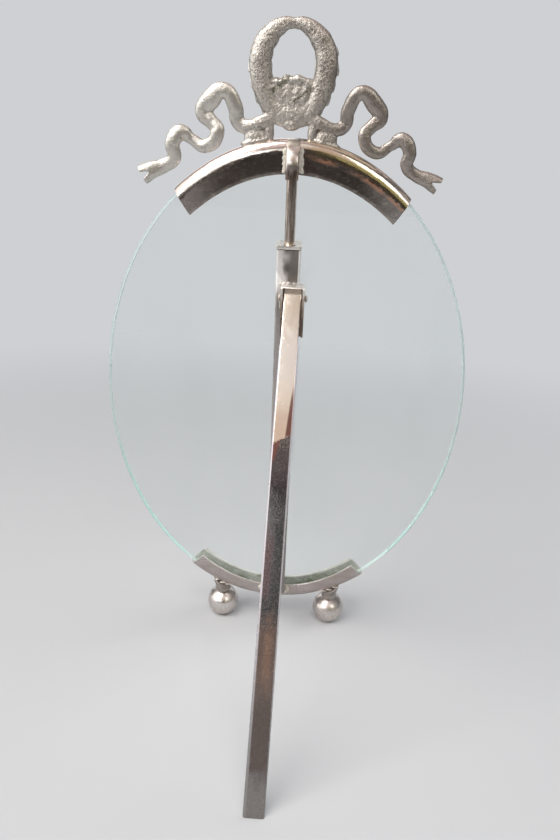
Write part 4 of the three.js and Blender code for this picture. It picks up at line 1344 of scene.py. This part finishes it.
def softLamp(name, place, target, size, watts, tint=(1, 1, 1), mirrored=True):
    lamp = bpy.data.lights.new(name, "AREA")
    lamp.shape = "RECTANGLE"
    lamp.size, lamp.size_y = size
    lamp.energy = watts
    lamp.color = tint
    holder = placed(name, lamp)
    holder.location = place
    holder.rotation_euler = (Vector(target) - Vector(place)).to_track_quat("-Z", "Y").to_euler()
    holder.visible_glossy = mirrored


def mirrorCard(name, place, facing, size, colour, strength=1.0):  # only mirrors see it
    bpy.ops.mesh.primitive_plane_add(size=1, location=place)
    card = bpy.context.object
    card.name = name
    card.rotation_euler = Vector(facing).to_track_quat("Z", "Y").to_euler()
    card.scale = (*size, 1)
    finish = Finish(name, "card")
    finish.shown(finish.node("ShaderNodeEmission", {"Color": opaque(colour), "Strength": strength}))
    card.data.materials.append(finish.material)
    card.visible_camera = card.visible_diffuse = card.visible_shadow = card.visible_transmission = False


paleFloor()
studioWorld()
cards = [  # name, place, facing, size, colour, strength
    ("horizonCard", (-0.10, 1.0, 0.25), (0, -1, 0), (1.1, 0.5), (0.055, 0.045, 0.040)),
    ("floorCard", (0, 0.70, 0.002), (0, 0, 1), (2.4, 0.62), (0.075, 0.062, 0.056)),
    ("roomCard", (0.35, 1.06, 1.02), (0, -1, 0), (1.7, 1.05), (1.0, 0.80, 0.75), 0.62),
    ("ceilingCard", (0.2, -0.15, 1.35), (0, 0, -1), (2.4, 1.7), (1.0, 0.82, 0.77), 0.62),
    ("backCard", (0.48, -1.0, 0.65), (0, 1, 0), (0.9, 1.0), (1.0, 0.97, 0.95), 1.1),
    ("doorCard", (-0.62, -1.0, 0.60), (0, 1, 0), (0.5, 0.9), (1.0, 0.97, 0.95), 0.7),
    ("windowCard", (0.86, 0.95, 0.38), (0, -1, 0), (1.20, 0.34), (1.0, 0.97, 0.93), 2.4),
    ("sashCard", (0.18, 0.95, 0.30), (0, -1, 0), (0.18, 0.17), (1.0, 0.97, 0.93), 2.4),
    ("skyCard", (0.05, 0.95, 1.10), (0, -1, -0.3), (0.40, 0.60), (1.0, 0.94, 0.88), 0.85),
    ("paneCard", (-0.87, 0.98, 0.76), (0, -1, 0), (0.9, 0.62), (1.0, 0.97, 0.92), 2.2),
    ("hedgeCard", (-0.75, 0.985, 0.33), (0, -1, 0), (1.2, 0.32), (0.62, 0.56, 0.34), 0.7),
    ("leftCard", (0.75, 0.25, 0.45), (-1, 0, 0), (0.8, 0.9), (1.0, 0.98, 0.96), 1.4),
    ("rightCard", (-1.1, 0.45, 0.60), (1, 0, 0), (0.9, 0.8), (1.0, 0.96, 0.90), 0.4),
]
for card in cards:
    mirrorCard(*card)
softLamp("keyLamp", (0.55, 0.50, 0.80), (0, 0, 0.12), (0.80, 0.80), 9.0, (1.0, 0.98, 0.95))
softLamp("topLamp", (-0.1, 0.75, 1.15), (0, 0, 0.10), (0.7, 0.3), 4.0, mirrored=False)
softLamp("fillLamp", (-0.75, -0.25, 0.55), (0, 0, 0.12), (0.5, 0.5), 2.0, (0.96, 0.98, 1.0), False)
print("studio lit")


# Camera: where the photograph was taken from

view = {
    "focalPixels": 628.6,
    "longSide": 840,
    "place": (-7.55, 193.15, 163.03),
    "yaw": 0.0389,
    "pitch": 0.2958,
    "roll": 0.0485,
}


def photoCamera():
    data = bpy.data.cameras.new("photoCamera")
    data.sensor_width = 36
    data.lens = data.sensor_width * view["focalPixels"] / view["longSide"]
    data.clip_start = 0.01
    camera = placed("photoCamera", data)
    yaw, pitch = view["yaw"], view["pitch"]
    ahead = Vector((sin(yaw) * cos(pitch), -cos(yaw) * cos(pitch), -sin(pitch)))
    right = ahead.cross(Vector((0, 0, 1))).normalized()
    up = right.cross(ahead)
    level = Matrix((right, up, -ahead)).transposed()
    turn = (level @ Matrix.Rotation(view["roll"], 3, "Z")).to_4x4()
    camera.matrix_world = Matrix.Translation(Vector(view["place"]) * mm) @ turn
    scene.camera = camera


photoCamera()
